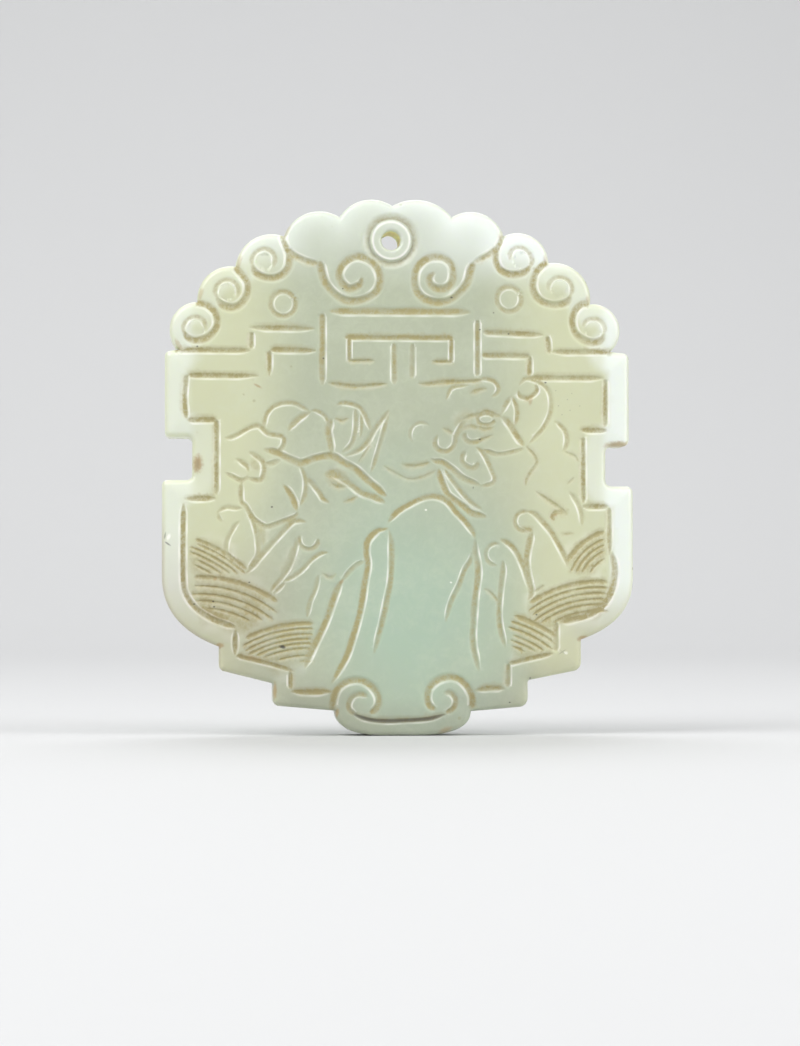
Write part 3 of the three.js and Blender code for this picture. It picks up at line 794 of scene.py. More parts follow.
# The two head curls and the brow lines that run to them.
HEAD_CURLS = Ornament((
    ((-8.65, 53.15, -8.5, 52.2, -8.25, 51.2, -7.9, 50.4, -7.2, 49.6, -6.2, 48.9, -5.3, 48.7, -4.3, 48.75, -3.3,
     49.1, -2.5, 49.7, -2.1, 50.5, -2, 51.4, -2.3, 52.3, -2.8, 52.9, -3.6, 53.4, -4.5, 53.6, -5.4, 53.3, -6.2,
     52.6, -6.55, 51.7, -6.3, 50.8, -5.5, 50.1, -4.8, 50.2, -4.2, 50.6, -4, 51.4), 0.42, 0.4, LEFT, 0.8, 1.2,
     0.8),
    ((8.65, 53.2, 8.2, 52.4, 7.9, 51.3, 7.5, 50.4, 6.8, 49.6, 5.9, 48.9, 4.8, 48.6, 3.6, 48.75, 2.6, 49.3, 2,
     50.2, 1.9, 51.4, 2.2, 52.4, 3, 53.2, 4, 53.6, 5.2, 53.5, 6, 52.8, 6.2, 51.8, 6, 50.8, 5.3, 50.2, 4.4,
     50.15, 3.7, 50.6, 3.55, 51.3, 4.2, 52), 0.42, 0.4, RIGHT, 0.8, 1.2, 0.8),
    ((8.4, 53.1, 8.1, 52.2, 7.9, 51.3, 7.5, 50.4), 0.36, 0.36, TRENCH, 0.8, 1, 0.6),
    ((-12.85, 56, -12.75, 55.3, -12.45, 54.6, -12, 54.05), 0.36, 0.34, TRENCH, 0.65, 0.8, 0.1),
    ((11.85, 56.2, 11.6, 55.5, 11.3, 54.95, 10.9, 54.4), 0.36, 0.34, TRENCH, 0.65, 0.8, 0.1),
    ((-12.4, 54.5, -11.7, 53.8, -10.8, 53.3, -9.8, 52.95, -8.7, 52.8), 0.4, 0.34, LEFT_EDGE, 0.75, 0.9, 0.6),
    ((11.3, 54.9, 10.5, 54.15, 9.5, 53.55, 8.5, 53.1), 0.4, 0.34, RIGHT_EDGE, 0.75, 0.9, 0.6),
))


@dataclass
class CrestCarving:
    """Cloud curls, head curls and beads of the crest."""

    button: float = 0.96
    bead: float = 1.08
    bead_groove: float = 0.29
    beads: tuple[Point, ...] = ((-12.8, 48.3), (12.5, 49.0))

    def cuts(self) -> Iterator[Cut]:
        """Every stroke of the crest."""
        for curls, inward in ((LEFT_CURLS, RIGHT), (RIGHT_CURLS, LEFT)):
            for curl in curls:
                yield Cut(curl.outer, 0.4, 0.38, inward, 0.75, 1.2, 0.2)
                yield Cut(curl.inner, 0.28, 0.22, inward, 0.36, 0.8, 1.2)
        yield from HEAD_CURLS.cuts()
        for bead in self.beads:
            ring = arc(bead, self.bead + self.bead_groove, 20, 395, 30)
            yield Cut(ring, self.bead_groove, 0.22, LEFT, 0.5, 0.3)

    def buttons(self) -> Iterator[tuple[Point, float, float]]:
        """Middle, radius and roundness of every button and bead."""
        for curl in (*LEFT_CURLS, *RIGHT_CURLS):
            yield curl.button, self.button, 0.08
        for centre in self.beads:
            yield centre, self.bead, 0.05


@dataclass
class TabletCarving:
    """The tablet under the head, with its key fret."""

    left: float = -8.42
    right: float = 8.95
    top: float = 47.5
    foot: float = 39.3
    fret_top: float = 44.6
    fret_foot: float = 41.97
    fret_left: float = -5.42
    fret_right: float = 6.0
    hook: float = 2.9
    legs: tuple[float, float] = (-0.42, 1.65)

    def cuts(self) -> Iterator[Cut]:
        """Every stroke of the tablet."""
        right, left = self.right, self.left
        yield Cut((left, self.top - 0.2, left, self.foot - 0.1), 0.34, 0.34, LEFT, 0.65, 0.9, 0.5)
        yield Cut((right, self.top - 0.8, right, self.foot + 0.9), 0.32, 0.34, TRENCH, 0.65, 0.5, 0.5)
        yield Cut((left + 0.7, self.top, right - 0.7, self.top), 0.4, 0.34, RIGHT, 0.95, 1.8)
        yield Cut((-7.9, 39.5, -6, 39.25, -4.3, 39.15, -1.0, 39.45), 0.3, 0.3, EVEN, 0.85, 1.6)
        yield Cut((2.2, 39.45, 3.5, 39.45, 5, 39.65, 8, 39.75, 9.6, 39.9), 0.3, 0.3, EVEN, 0.85, 0.8, 1.6)
        fine = {"wide": 0.26, "depth": 0.3, "stain": 0.75}
        yield Cut((-6, self.fret_top, 6.3, self.fret_top), 0.34, 0.3, RIGHT_EDGE, 0.95, 0.7)
        for x in (self.fret_left, self.fret_right):
            yield Cut((x, self.fret_top - 0.1, x, self.fret_foot - 0.1), bank=TRENCH, taper=0.2, **fine)
        yield Cut((self.fret_left - 0.15, 42.0, self.fret_left + self.hook, 42.0), taper=1.0, lead=0.1, **fine)
        yield Cut((self.fret_right + 0.15, 41.95, self.fret_right - self.hook + 0.6, 41.95), taper=1.0,
            lead=0.1, **fine)
        yield Cut((self.legs[0], 44.1, self.legs[0], 39.3), 0.3, 0.3, RIGHT, 0.5, 0.6)
        yield Cut((self.legs[1], 44.0, self.legs[1], 39.9), 0.3, 0.3, LEFT, 0.45, 0.6)


# The frame line from each flank down to the foot.
LOW_FRAME = Ornament((
    # The frame line from the left flank down to the foot.
    ((-23.85, 26.1, -23.9, 22, -23.85, 17.4, -23.5, 15.8, -22.4, 14.3, -20.9, 13.3, -19.5, 12.7, -18, 12.25),
     0.34, 0.34, TRENCH, 0.85, 1, 1.4),
    ((-22.5, 14.75, -21.4, 14.1, -20.2, 13.55, -18.6, 12.95), 0.6, 0.1, EVEN, 0.85, 1.6),
    ((-18.1, 12.1, -18.1, 9.1), 0.33, 0.36, TRENCH, 0.75, 1.2),
    ((-18, 9.15, -16.2, 8.7, -14.5, 8.3, -12.8, 7.8, -11.4, 7.3), 0.3, 0.3, RIGHT_EDGE, 0.85, 1.6, 0.5),
    ((-11.95, 7.4, -11.95, 5.3), 0.3, 0.32, RIGHT_EDGE, 0.7, 0.5),
    ((-12, 5.15, -9.5, 5.05, -7.1, 5.15), 0.38, 0.32, RIGHT_EDGE, 1, 2, 1.6),
    # The frame line from the right flank down to the foot.
    ((23.75, 25.7, 23.8, 20.2), 0.32, 0.34, LEFT_EDGE, 0.65, 1.6, 0.6),
    ((24, 20.8, 24.4, 19, 24.35, 17.5, 23.9, 15.9, 23, 14.6, 21.7, 13.7, 19.9, 13.15, 18, 12.8), 0.4, 0.36,
     LEFT, 1, 1.4, 1.6),
    ((17.75, 12.9, 17.75, 9.5), 0.32, 0.34, LEFT, 0.55, 0.5),
    ((17.5, 9.35, 15, 8.8, 12.4, 8.2), 0.32, 0.32, LEFT_EDGE, 0.9, 0.5, 1.2),
    ((12.35, 8.25, 12.3, 5.5), 0.34, 0.34, LEFT_EDGE, 0.75, 0.4),
    ((12.1, 5.45, 10.3, 5.45, 8.5, 5.2), 0.36, 0.32, LEFT_EDGE, 1, 1.6, 1),
))


@dataclass
class FrameCarving:
    """The frame line inside the border, cut stroke by stroke down each side."""

    wide: float = 0.37
    depth: float = 0.34

    def cuts(self) -> Iterator[Cut]:
        """Every stroke of the frame line."""
        level = {"wide": self.wide, "depth": self.depth, "bank": RIGHT_EDGE, "stain": 0.72}
        upright = {"wide": 0.32, "depth": self.depth, "bank": LEFT_EDGE, "stain": 0.7}
        for path, lead, taper in (
            ((-24.9, 43.1, -16.4, 43.1), 0.3, 1.2), ((-16.7, 45.65, -9.2, 45.55), 2.2, 2.2), ((-14.3, 43.2,
            -9.0, 43.1), 0.6, 1.6), ((-23.5, 40.3, -15.4, 40.25), 0.8, 2.8), ((-23.5, 35.3, -20.1, 35.35), 0.8,
            0.5), ((-23.9, 26.55, -20.2, 26.6), 1.5, 1.0), ((17.0, 43.1, 24.2, 43.15), 2.0, 0.6), ((9.5, 45.3,
            16.5, 45.0), 0.5, 2.0), ((9.4, 42.7, 14.9, 42.65), 0.4, 0.6), ((14.8, 40.2, 23.3, 40.2), 0.8, 2.0),
            ((20.4, 34.35, 23.6, 34.3), 1.2, 0.8), ((20.7, 25.75, 23.8, 25.8), 0.8, 0.8),
        ):
            yield Cut(path, lead=lead, taper=taper, **level)
        for path, taper in (
            ((-16.35, 45.2, -16.35, 43.2), 0.4), ((-14.35, 43.1, -14.35, 40.1), 1.2), ((-23.55, 40.4, -23.75,
            38.0, -23.55, 35.4), 0.6), ((-20.2, 35.4, -20.2, 26.9), 0.8), ((16.75, 44.9, 16.9, 44.2, 17.0,
            42.8), 0.5), ((14.8, 42.6, 14.8, 40.3), 0.5), ((23.35, 40.1, 23.35, 34.6), 0.6), ((20.8, 33.6,
            20.85, 26.1), 0.6),
        ):
            yield Cut(path, lead=0.4, taper=taper, **upright)
        yield from LOW_FRAME.cuts()


# The two scrolls of the foot and the line between them.
FOOT_SCROLLS = Ornament((
    ((-7.15, 2.95, -7.2, 3.8, -7, 4.7, -6.6, 5.5, -5.9, 6.05, -5.2, 6.3, -4.4, 6.35, -3.6, 6.1, -2.9, 5.6, -2.4,
     4.95, -2.15, 4.3, -2.2, 3.6, -2.6, 3, -3.2, 2.7), 0.38, 0.38, RIGHT, 0.95, 0.7, 0.5),
    ((8.3, 3.1, 8.35, 3.8, 8.3, 4.4, 8.1, 5, 7.6, 5.8, 6.9, 6.4, 6, 6.65, 5, 6.5, 4.2, 6.1, 3.6, 5.5, 3.35, 4.8,
     3.35, 4, 3.7, 3.4, 4.3, 3.1), 0.38, 0.38, LEFT, 0.95, 0.7, 0.5),
    ((-3.3, 4.55, -4.2, 4.8, -5, 4.5, -5.45, 3.8, -5.4, 3.1, -4.7, 2.5), 0.3, 0.3, LEFT, 0.65, 0.5, 0.6),
    ((5.1, 4.95, 5.9, 4.9, 6.4, 4.3, 6.4, 3.6, 6, 3.05, 5.3, 2.7), 0.3, 0.3, RIGHT, 0.6, 0.5, 0.6),
    ((-5.2, 2.8, -4.5, 2.4, -3.6, 2.1, -2.5, 1.88, -1, 1.8, 0.8, 1.88, 3, 2, 4.2, 2.2, 5.4, 2.6), 0.3, 0.34,
     RIGHT_EDGE, 0.6, 1.8, None, 0.75),
))


@dataclass(frozen=True)
class WaveFan:
    """Concentric arcs of water, kept between two uprights and above a level.

    Attributes:
        centre: middle of the arcs.
        radii: radius of each arc from the outside in.
        low_x: left limit.
        high_x: right limit.
        low_z: lowest level of an arc at its middle.
        tilt: rise of that level for each millimetre to the right.
        wash: how much earth has stayed all over the fan.
        wash_spread: half of its width, in shares of the fan's.
        outer: half width and depth of the outer arc.
        inner: the same of the others.
        shortest: fewest fine points of an arc that is cut.
    """

    centre: Point
    radii: tuple[float, ...]
    low_x: float
    high_x: float
    low_z: float
    tilt: float = 0.0
    wash: float = 0.36
    wash_spread: float = 0.6
    outer: tuple[float, float] = (0.33, 0.26)
    inner: tuple[float, float] = (0.19, 0.21)
    shortest: int = 14

    def cuts(self) -> Iterator[Cut]:
        """One cut for each arc, as far as it lies within the limits."""
        for i, radius in enumerate(self.radii):
            angles = np.radians(np.linspace(5, 175, 341))
            x = self.centre[0] + radius * np.cos(angles)
            z = self.centre[1] + radius * np.sin(angles)
            floor = self.low_z + np.maximum(self.tilt * (x - (self.low_x + self.high_x) / 2), 0)
            kept = (x > self.low_x) & (x < self.high_x) & (z > floor)
            if kept.sum() < self.shortest:
                continue
            path = tuple(np.stack([x[kept], z[kept]], axis=1)[::6].ravel().tolist())
            wide, depth = self.outer if i == 0 else self.inner
            yield Cut(path, wide, depth, EVEN, 1.0, 0.8)
            if i == len(self.radii) // 2:
                spread = (self.radii[0] - self.radii[-1]) * self.wash_spread
                yield Cut(path, spread, 0, EVEN, self.wash, 1.5)


WAVE_FANS = (
    WaveFan((-28.9, 4.8), (18.4, 17.95, 17.4, 16.85, 16.3, 15.7, 15.1), -23.3, -16.8, 18.1),
    WaveFan((-22.0, 3.1), (14.75, 13.75, 12.85, 12.1, 11.3, 10.5), -23.3, -13.3, 12.9, -0.45),
    WaveFan((-10.0, -2.5), (15.2, 14.6, 14.0, 13.45, 12.95, 12.4, 11.6, 11.0), -17.6, -9.3, 8.4, -0.2),
    WaveFan((25.2, 16.2), (7.05, 6.2, 5.6, 5.0, 4.2), 18.8, 23.4, 18.1),
    WaveFan((22.6, 3.4), (13.95, 13.3, 12.65, 12.0, 11.4, 10.7), 14.5, 23.8, 12.6),
    WaveFan((8.8, -1.2), (15.3, 14.6, 13.9, 13.2, 12.6, 12.0), 12.2, 18.0, 9.4, 0.1),
)


# Peaches, a hand-shaped fruit and leaves on a branch, at the left of the picture.
PEACH_BRANCH = Ornament((
    # The upper peach and its cleft.
    ((-14.9, 34.2, -14.85, 35.2, -14.6, 36, -14, 36.7, -13.2, 37.1, -12.4, 37.25, -11.6, 37.2, -10.9, 36.9,
     -9.8, 36.3), 0.26, 0.24, RIGHT, 0.5),
    ((-9.7, 36.3, -10.9, 35.6, -11.9, 34.6, -12.2, 34.1), 0.34, 0.26, LEFT, 0.9),
    ((-9.8, 36.3, -9.2, 36.4, -8.5, 36.1, -8, 35.6, -7.75, 34.6), 0.24, 0.2, RIGHT, 0.45),
    # The fruit shaped like a hand.
    ((-19.4, 33.3, -18.4, 33.4, -16.8, 34.3, -16, 34.6, -15.4, 34.6, -14.5, 33.8, -13.4, 33.6, -12.8, 33.4,
     -12.7, 32.8, -13, 32.2, -13.6, 31.8, -15, 32.1), 0.28, 0.26, RIGHT, 0.55),
    ((-16.7, 31.8, -15.8, 31.3, -15.1, 30.7, -14.9, 29.9, -15.1, 28.9, -15.6, 28.65, -16.8, 28.9), 0.3, 0.26,
     RIGHT, 0.55),
    ((-18.2, 31, -17.5, 30.7, -16.8, 30.1, -16.7, 29.5), 0.28, 0.24, RIGHT, 0.5),
    ((-19.3, 29.5, -18.7, 29.2, -17.6, 28.65, -17, 28.8, -16.7, 29.2), 0.28, 0.24, LEFT, 0.55),
    ((-15, 30.5, -14.3, 30.5, -13, 30.9), 0.3, 0.24, LEFT, 0.5),
    # The branch and its twigs.
    ((-15, 32.1, -13.6, 31.8, -12.5, 31.2, -11.5, 30.8, -10.7, 30.6, -9.2, 31.1, -7.4, 31.4, -6, 30.6, -4.6,
     29.8, -3.3, 28.6, -2.2, 27.7, -1.2, 26.8), 0.38, 0.3, LEFT, 1, 1.4),
    ((-8, 29.5, -7.5, 29.6, -6.8, 29.2, -5.2, 28.1, -4, 27.2, -2.6, 26.7, -1.4, 26.1), 0.36, 0.28, RIGHT, 0.7),
    ((-8.2, 29.2, -7.4, 29.25, -6.6, 28.8), 0.5, 0.22, EVEN, 0.8, 0.7),
    ((-7.9, 29.3, -6.6, 28.8, -5.4, 28.2), 0.9, 0, EVEN, 0.5, 1),
    ((-7.5, 28.4, -7, 28, -6.3, 27.9, -5.5, 28), 0.3, 0.22, EVEN, 0.55),
    ((-6.2, 26.2, -5.4, 26.4, -4.3, 26.95), 0.24, 0.18, EVEN, 0.5),
    ((-10.4, 29, -9.8, 28.5, -8.8, 27.3, -8.3, 26.5, -7.6, 26.1), 0.3, 0.26, RIGHT, 0.6),
    # The leaves that stand up from the branch.
    ((-7.4, 35.6, -7.5, 35, -7.75, 34.2, -7.6, 33.2, -7.3, 31.5), 0.36, 0.3, LEFT, 0.75),
    ((-7.2, 35.6, -6.6, 35.4, -6.2, 35.3, -5.4, 35.6), 0.26, 0.2, EVEN, 0.5),
    ((-6.9, 37, -6.3, 37.25, -5.4, 37.2, -4.6, 36.95, -4, 36.5, -3.4, 35.3, -3.05, 34.2), 0.26, 0.24, RIGHT,
     0.45),
    ((-4.75, 36.8, -4.7, 35.4, -4.75, 34.2, -5, 33.1, -5.4, 32.4, -6.3, 31.7), 0.26, 0.26, RIGHT, 0.4),
    ((-4.1, 36.3, -4.05, 34.8, -4.2, 33.3), 0.2, 0.18, RIGHT, 0.35),
    ((-0.9, 36.6, -1.4, 35.9, -2.5, 34.4, -3.3, 33, -3.8, 32.4, -4.5, 31.9, -5.9, 31.3), 0.28, 0.28, LEFT, 0.5,
     1.6),
    ((-0.9, 36.3, -1.4, 34.9, -2, 32.7, -2.7, 30.4, -3.1, 29.4), 0.24, 0.22, RIGHT, 0.45, 1.8),
    ((-2.6, 33.6, -3.5, 32, -4.5, 30.5), 0.2, 0.16, EVEN, 0.3, 1.4),
    # The lower peach, its cleft and its bloom end.
    ((-17.4, 28.5, -17.5, 27.2, -17.4, 26.2, -16.9, 25.7, -16.1, 24.4, -15, 23.6, -14.4, 23.5, -12.7, 24.1,
     -11.5, 24.6, -11.15, 25.2), 0.28, 0.26, LEFT, 0.5),
    ((-12.8, 28.1, -12.3, 27.6, -11.6, 26.4, -11.2, 25.2), 0.34, 0.26, LEFT, 0.85),
    ((-11.2, 30.3, -10.7, 29.9, -10.3, 28.6, -10.4, 27, -10.9, 25.8), 0.26, 0.24, RIGHT, 0.5),
))


# Leaves and small round fruit that rise from the water at the left.
WATER_PLANTS = Ornament((
    ((-20, 24.8, -19.9, 25.2, -19, 25.6, -18.2, 25.5, -17.2, 25.5), 0.26, 0.2, RIGHT, 0.4),
    ((-20, 25, -19.9, 24.4, -19.5, 24), 0.22, 0.16, LEFT, 0.3),
    ((-17.6, 24.1, -18.3, 23.3, -19, 21.9, -19.1, 20.6, -18.6, 20.1, -17.6, 19.2), 0.26, 0.26, LEFT, 0.4),
    ((-16.9, 25.4, -16.1, 23.9, -15.7, 22.2, -15.6, 20.4, -16.3, 19.2, -16.7, 18.4), 0.26, 0.24, RIGHT, 0.5),
    ((-16.9, 18.2, -16, 19.2, -15.2, 20.2, -13.8, 21.8, -12.8, 22.9, -11.8, 23.9, -11.2, 24.1, -10.1, 24), 0.3,
     0.3, RIGHT, 0.5, 1.5),
    ((-11.4, 22.3, -11.3, 21.6, -11.7, 20, -12.2, 18.8, -13, 17.7, -13.9, 16.6, -14.2, 16), 0.26, 0.24, LEFT,
     0.5),
    (arc((-9.95, 22), 1.05, 150, 370), 0.26, 0.22, LEFT, 0.55, 0.6),
    ((-15.6, 24.2, -15.2, 22.8, -15.2, 21.2), 0.6, 0, EVEN, 0.3, 0.9),
    ((-11.4, 21.4, -12, 19.6, -12.9, 17.9), 0.6, 0, EVEN, 0.3, 0.9),
    ((-16.4, 31, -15.8, 30.4, -15.4, 29.6), 0.6, 0, EVEN, 0.3, 0.9),
    ((-12.9, 17.4, -12, 17.7, -10.7, 18.6, -9.7, 19.7, -8.7, 20.4, -7.7, 20.6), 0.26, 0.22, RIGHT, 0.45),
    ((-13.9, 15.9, -13.2, 16.6, -12.5, 17.3), 0.26, 0.24, RIGHT, 0.35),
    ((-8.8, 18.2, -9.2, 16.5, -9.8, 15, -10.1, 13.3), 0.26, 0.22, LEFT, 0.5),
    ((-8.6, 18.4, -8, 18, -7.5, 17.8, -6.8, 18.3), 0.24, 0.2, EVEN, 0.45),
))


# The tall rock in the middle with its folds, and the columns beside it.
ROCK = Ornament((
    ((-1.1, 23.9, 0, 25.1, 1.6, 26.1, 3, 26.7, 4.3, 26.8, 5.5, 26.3, 6.5, 25.1, 7.5, 24.1, 8.4, 22.9, 8.65,
     22.1), 0.32, 0.28, RIGHT, 1, 1.4),
    ((-1, 23.3, -1.6, 23.15, -2.3, 22.95, -3.3, 21.9, -3.5, 20.6, -3.35, 19.2, -3.7, 17, -3.95, 15.2, -4.5,
     12.8, -5.5, 9.5, -6.4, 7.7, -7.4, 6), 0.34, 0.32, LEFT, 1, 2.2),
    ((-1, 23.2, -0.75, 21.8, -0.7, 19.8, -0.8, 17.5, -1.2, 15.5, -1.8, 12.6, -2.7, 9.3), 0.32, 0.32, RIGHT, 0.6,
     2.6),
    ((-3.5, 19.7, -4.5, 19.3, -5.5, 18.4, -6.3, 17.3), 0.26, 0.22, RIGHT, 0.45),
    ((-6.1, 17.6, -6.6, 16.8, -7.2, 15.2, -7.9, 13.2, -8.8, 11.2, -9.8, 9.1, -10.4, 7.6), 0.36, 0.34, LEFT, 0.7,
     1.6),
    ((8.45, 20.9, 8.1, 19.7, 7.5, 18.7, 6.9, 17.1, 6, 15.2, 5.3, 12.8), 0.28, 0.26, RIGHT, 0.5, 1.8),
    ((8.7, 22.2, 8.7, 20.6, 8.95, 19.3, 9, 17.9, 8.7, 15.8, 8.5, 13.2, 8.4, 11.4, 8.6, 9.4, 9.15, 7.3), 0.34,
     0.34, LEFT, 0.6, 2),
    ((9.6, 16.6, 10.3, 16.2, 11.2, 15.2, 11.45, 14), 0.26, 0.22, EVEN, 0.5),
    ((11.8, 19.8, 11.8, 18.4, 11.5, 16.2, 11.35, 14, 11.5, 12.2, 12.05, 9.9), 0.3, 0.3, LEFT, 0.5, 1.4),
    (arc((11.05, 20.4), 1.2, 70, 275), 0.24, 0.18, LEFT, 0.4, 0.8),
    ((11.4, 22.1, 12.4, 21.6, 13.2, 20.8, 14, 19.2, 14.5, 17.8, 14.95, 16.4), 0.32, 0.28, RIGHT, 0.55),
    ((15.1, 23, 14.75, 21.5, 14.45, 19.9, 14.6, 18.2, 15, 16.2, 14.6, 15.2), 0.34, 0.28, LEFT, 0.7),
    ((14.9, 16, 15.8, 16.5, 16.5, 17), 0.22, 0.18, EVEN, 0.5),
    (arc((14.25, 24.1), 1.1, 70, 290), 0.24, 0.2, LEFT, 0.5, 0.6),
    ((14.4, 25.25, 15.2, 25, 15.8, 24.5, 17.2, 22.9, 18.1, 21.4, 18.8, 20, 19.05, 19), 0.32, 0.28, RIGHT, 0.55,
     1.3),
    ((13.6, 23.2, 15.2, 23.1), 0.35, 0.12, EVEN, 0.7, 0.6),
))


# The winged creature with curled feelers at the upper right, and the cloud below it.
BUTTERFLY = Ornament((
    # The wings and the ball beside them.
    ((9, 40, 10, 40, 10.8, 39.75, 11.2, 39.3, 11.3, 38.8, 11, 38.3, 10.4, 38), 0.26, 0.24, RIGHT, 0.6),
    ((8, 38.3, 8.6, 38.6, 9.4, 38.85, 10.1, 38.9), 0.3, 0.22, EVEN, 0.6),
    ((5.4, 37.6, 5.9, 38.8, 6.7, 39.15, 8, 39.3), 0.22, 0.18, RIGHT, 0.45),
    ((6.9, 35.3, 7.6, 35.6, 8.3, 35.9, 9.3, 36.1, 9.9, 36.4, 10.7, 36.1, 11.7, 35.8), 0.3, 0.24, EVEN, 0.7),
    ((11.7, 35.8, 12.4, 35.1, 13, 34.2, 13.6, 33.3, 14.2, 32.5), 0.36, 0.3, RIGHT, 0.75, 0.9),
    ((12.8, 38.2, 12.1, 37.1, 11.6, 36), 0.28, 0.24, LEFT, 0.35),
    ((12.8, 38.1, 13.3, 37, 13.4, 36, 13.2, 34.8), 0.28, 0.24, RIGHT, 0.6),
    ((13.5, 38.8, 13.7, 38.1, 14.4, 37.9, 15, 38.1, 15.5, 38.5, 15.65, 38.9, 15.4, 39.6), 0.28, 0.24, RIGHT,
     0.6),
    ((14.3, 38.2, 14.8, 37.4), 0.4, 0.12, EVEN, 0.75, 0.5),
    ((13.6, 39.2, 13.9, 39.7, 14.5, 40.1, 15.8, 39.7, 16.8, 38.9, 17.2, 37.8, 17.1, 36.2, 16.4, 34.7, 15.4,
     33.5, 14.7, 32.8), 0.26, 0.22, RIGHT, 0.45, 1.4),
    ((9.2, 32.1, 10.2, 31.9, 11.3, 31.6, 13, 31.9, 14.2, 32.3), 0.26, 0.22, LEFT, 0.5),
    # The head, the eye and the curled feelers.
    (oval((9.9, 35.5), 0.95, 0.6, np.linspace(0.2, 2 * math.pi + 0.1, 18)), 0.22, 0.2, LEFT, 0.6, 0.3),
    ((8.6, 34.8, 9.8, 34.4, 10.9, 34.7), 0.26, 0.2, EVEN, 0.55),
    ((8.6, 33, 9.6, 33.3, 10.8, 33.8), 0.26, 0.22, EVEN, 0.6),
    ((7.6, 34.1, 7.55, 33.4, 8.1, 32.95, 8.9, 33, 9.5, 33.35), 0.28, 0.22, LEFT, 0.6, 0.6),
    ((6.4, 33.7, 6, 34, 5.5, 34.3, 4.9, 34.5), 0.26, 0.2, EVEN, 0.5),
    ((4.5, 33.8, 4.2, 33, 4.3, 32.4, 4.8, 32, 5.5, 31.9, 6.1, 32.3, 6.4, 32.9, 6.5, 33.6, 7, 34.6, 7.5, 35.4),
     0.28, 0.24, LEFT, 0.65),
    ((7.6, 32, 7.25, 31.3, 7.3, 30.6, 8.2, 30.05, 8.8, 30.3, 9, 30.8), 0.3, 0.24, LEFT, 0.65, 0.6),
    (arc((2.65, 33.8), 1.3, 45, 225), 0.22, 0.14, LEFT, 0.3, 1.2),
    ((6.5, 34.5, 7.3, 35.5, 8.6, 36.1), 0.75, 0, EVEN, 0.35, 1),
    ((7, 34.1, 7.6, 34.6, 8.4, 34.7, 9.2, 34.4), 0.3, 0.16, EVEN, 0.5, 0.8),
    # The tail lines below the wings.
    ((14.3, 32.5, 15, 31.9, 15.5, 31.2, 15.55, 30.5, 14.9, 29.6, 14.4, 28.6, 14.4, 28), 0.26, 0.22, EVEN, 0.5),
    ((8.7, 32.4, 9.3, 32, 9.8, 31.3, 10.5, 29.8, 10.85, 28.9, 10.5, 28.3, 9.2, 28), 0.26, 0.22, RIGHT, 0.5),
    # The cloud lines that trail from the creature to the rock.
    ((0.3, 30.45, 1.3, 30.25, 2.2, 30.3, 3.7, 30.7), 0.28, 0.24, EVEN, 0.65),
    ((3.6, 31.05, 4.3, 30.8, 5, 30.7, 6.2, 29.9, 7.4, 28.9, 9.3, 28.1), 0.32, 0.26, LEFT, 0.65),
    ((-1.7, 30.3, -0.5, 29.6, 0.9, 28.9, 2, 28.8, 3.6, 29.4, 4.4, 29.9), 0.22, 0.16, EVEN, 0.35),
    ((4.6, 30, 4.8, 29, 5.5, 27.3, 6.1, 26.7, 7.5, 25.7, 8.2, 25.1, 9, 24.85, 10, 24.6), 0.34, 0.28, LEFT,
     0.8),
    ((5.2, 30, 5.7, 29.2, 6.9, 27.6, 8.2, 26.2, 9.5, 25.4), 0.26, 0.24, RIGHT, 0.45),
))


# The lobed leaf between the creature and the right edge of the field.
RIGHT_LEAF = Ornament((
    ((17.5, 35.3, 18, 35.1, 18.8, 34.2, 19, 33.2, 18.8, 32.3, 18.4, 31.9), 0.28, 0.22, RIGHT, 0.55),
    ((18.5, 32, 19.2, 31.7, 20, 31.3, 20.3, 30.7), 0.26, 0.2, EVEN, 0.4),
    ((15.4, 27.5, 16.4, 26.8, 17.6, 26, 18.7, 25.2, 19.1, 24.7), 0.28, 0.24, EVEN, 0.6),
    ((19.1, 24.8, 18.5, 25.15, 17.8, 25.1, 17.35, 24.7, 17.6, 24.1), 0.36, 0.2, EVEN, 0.85, 0.6),
    ((19.2, 27.5, 20.1, 26.3, 20.6, 25, 20.7, 23.5), 0.28, 0.24, RIGHT, 0.45),
    ((19, 28.2, 19.5, 28.7, 19.9, 29.1), 0.22, 0.16, EVEN, 0.35),
    ((18.3, 22.6, 19, 22.7, 19.9, 22.8), 0.2, 0.12, EVEN, 0.3),
))


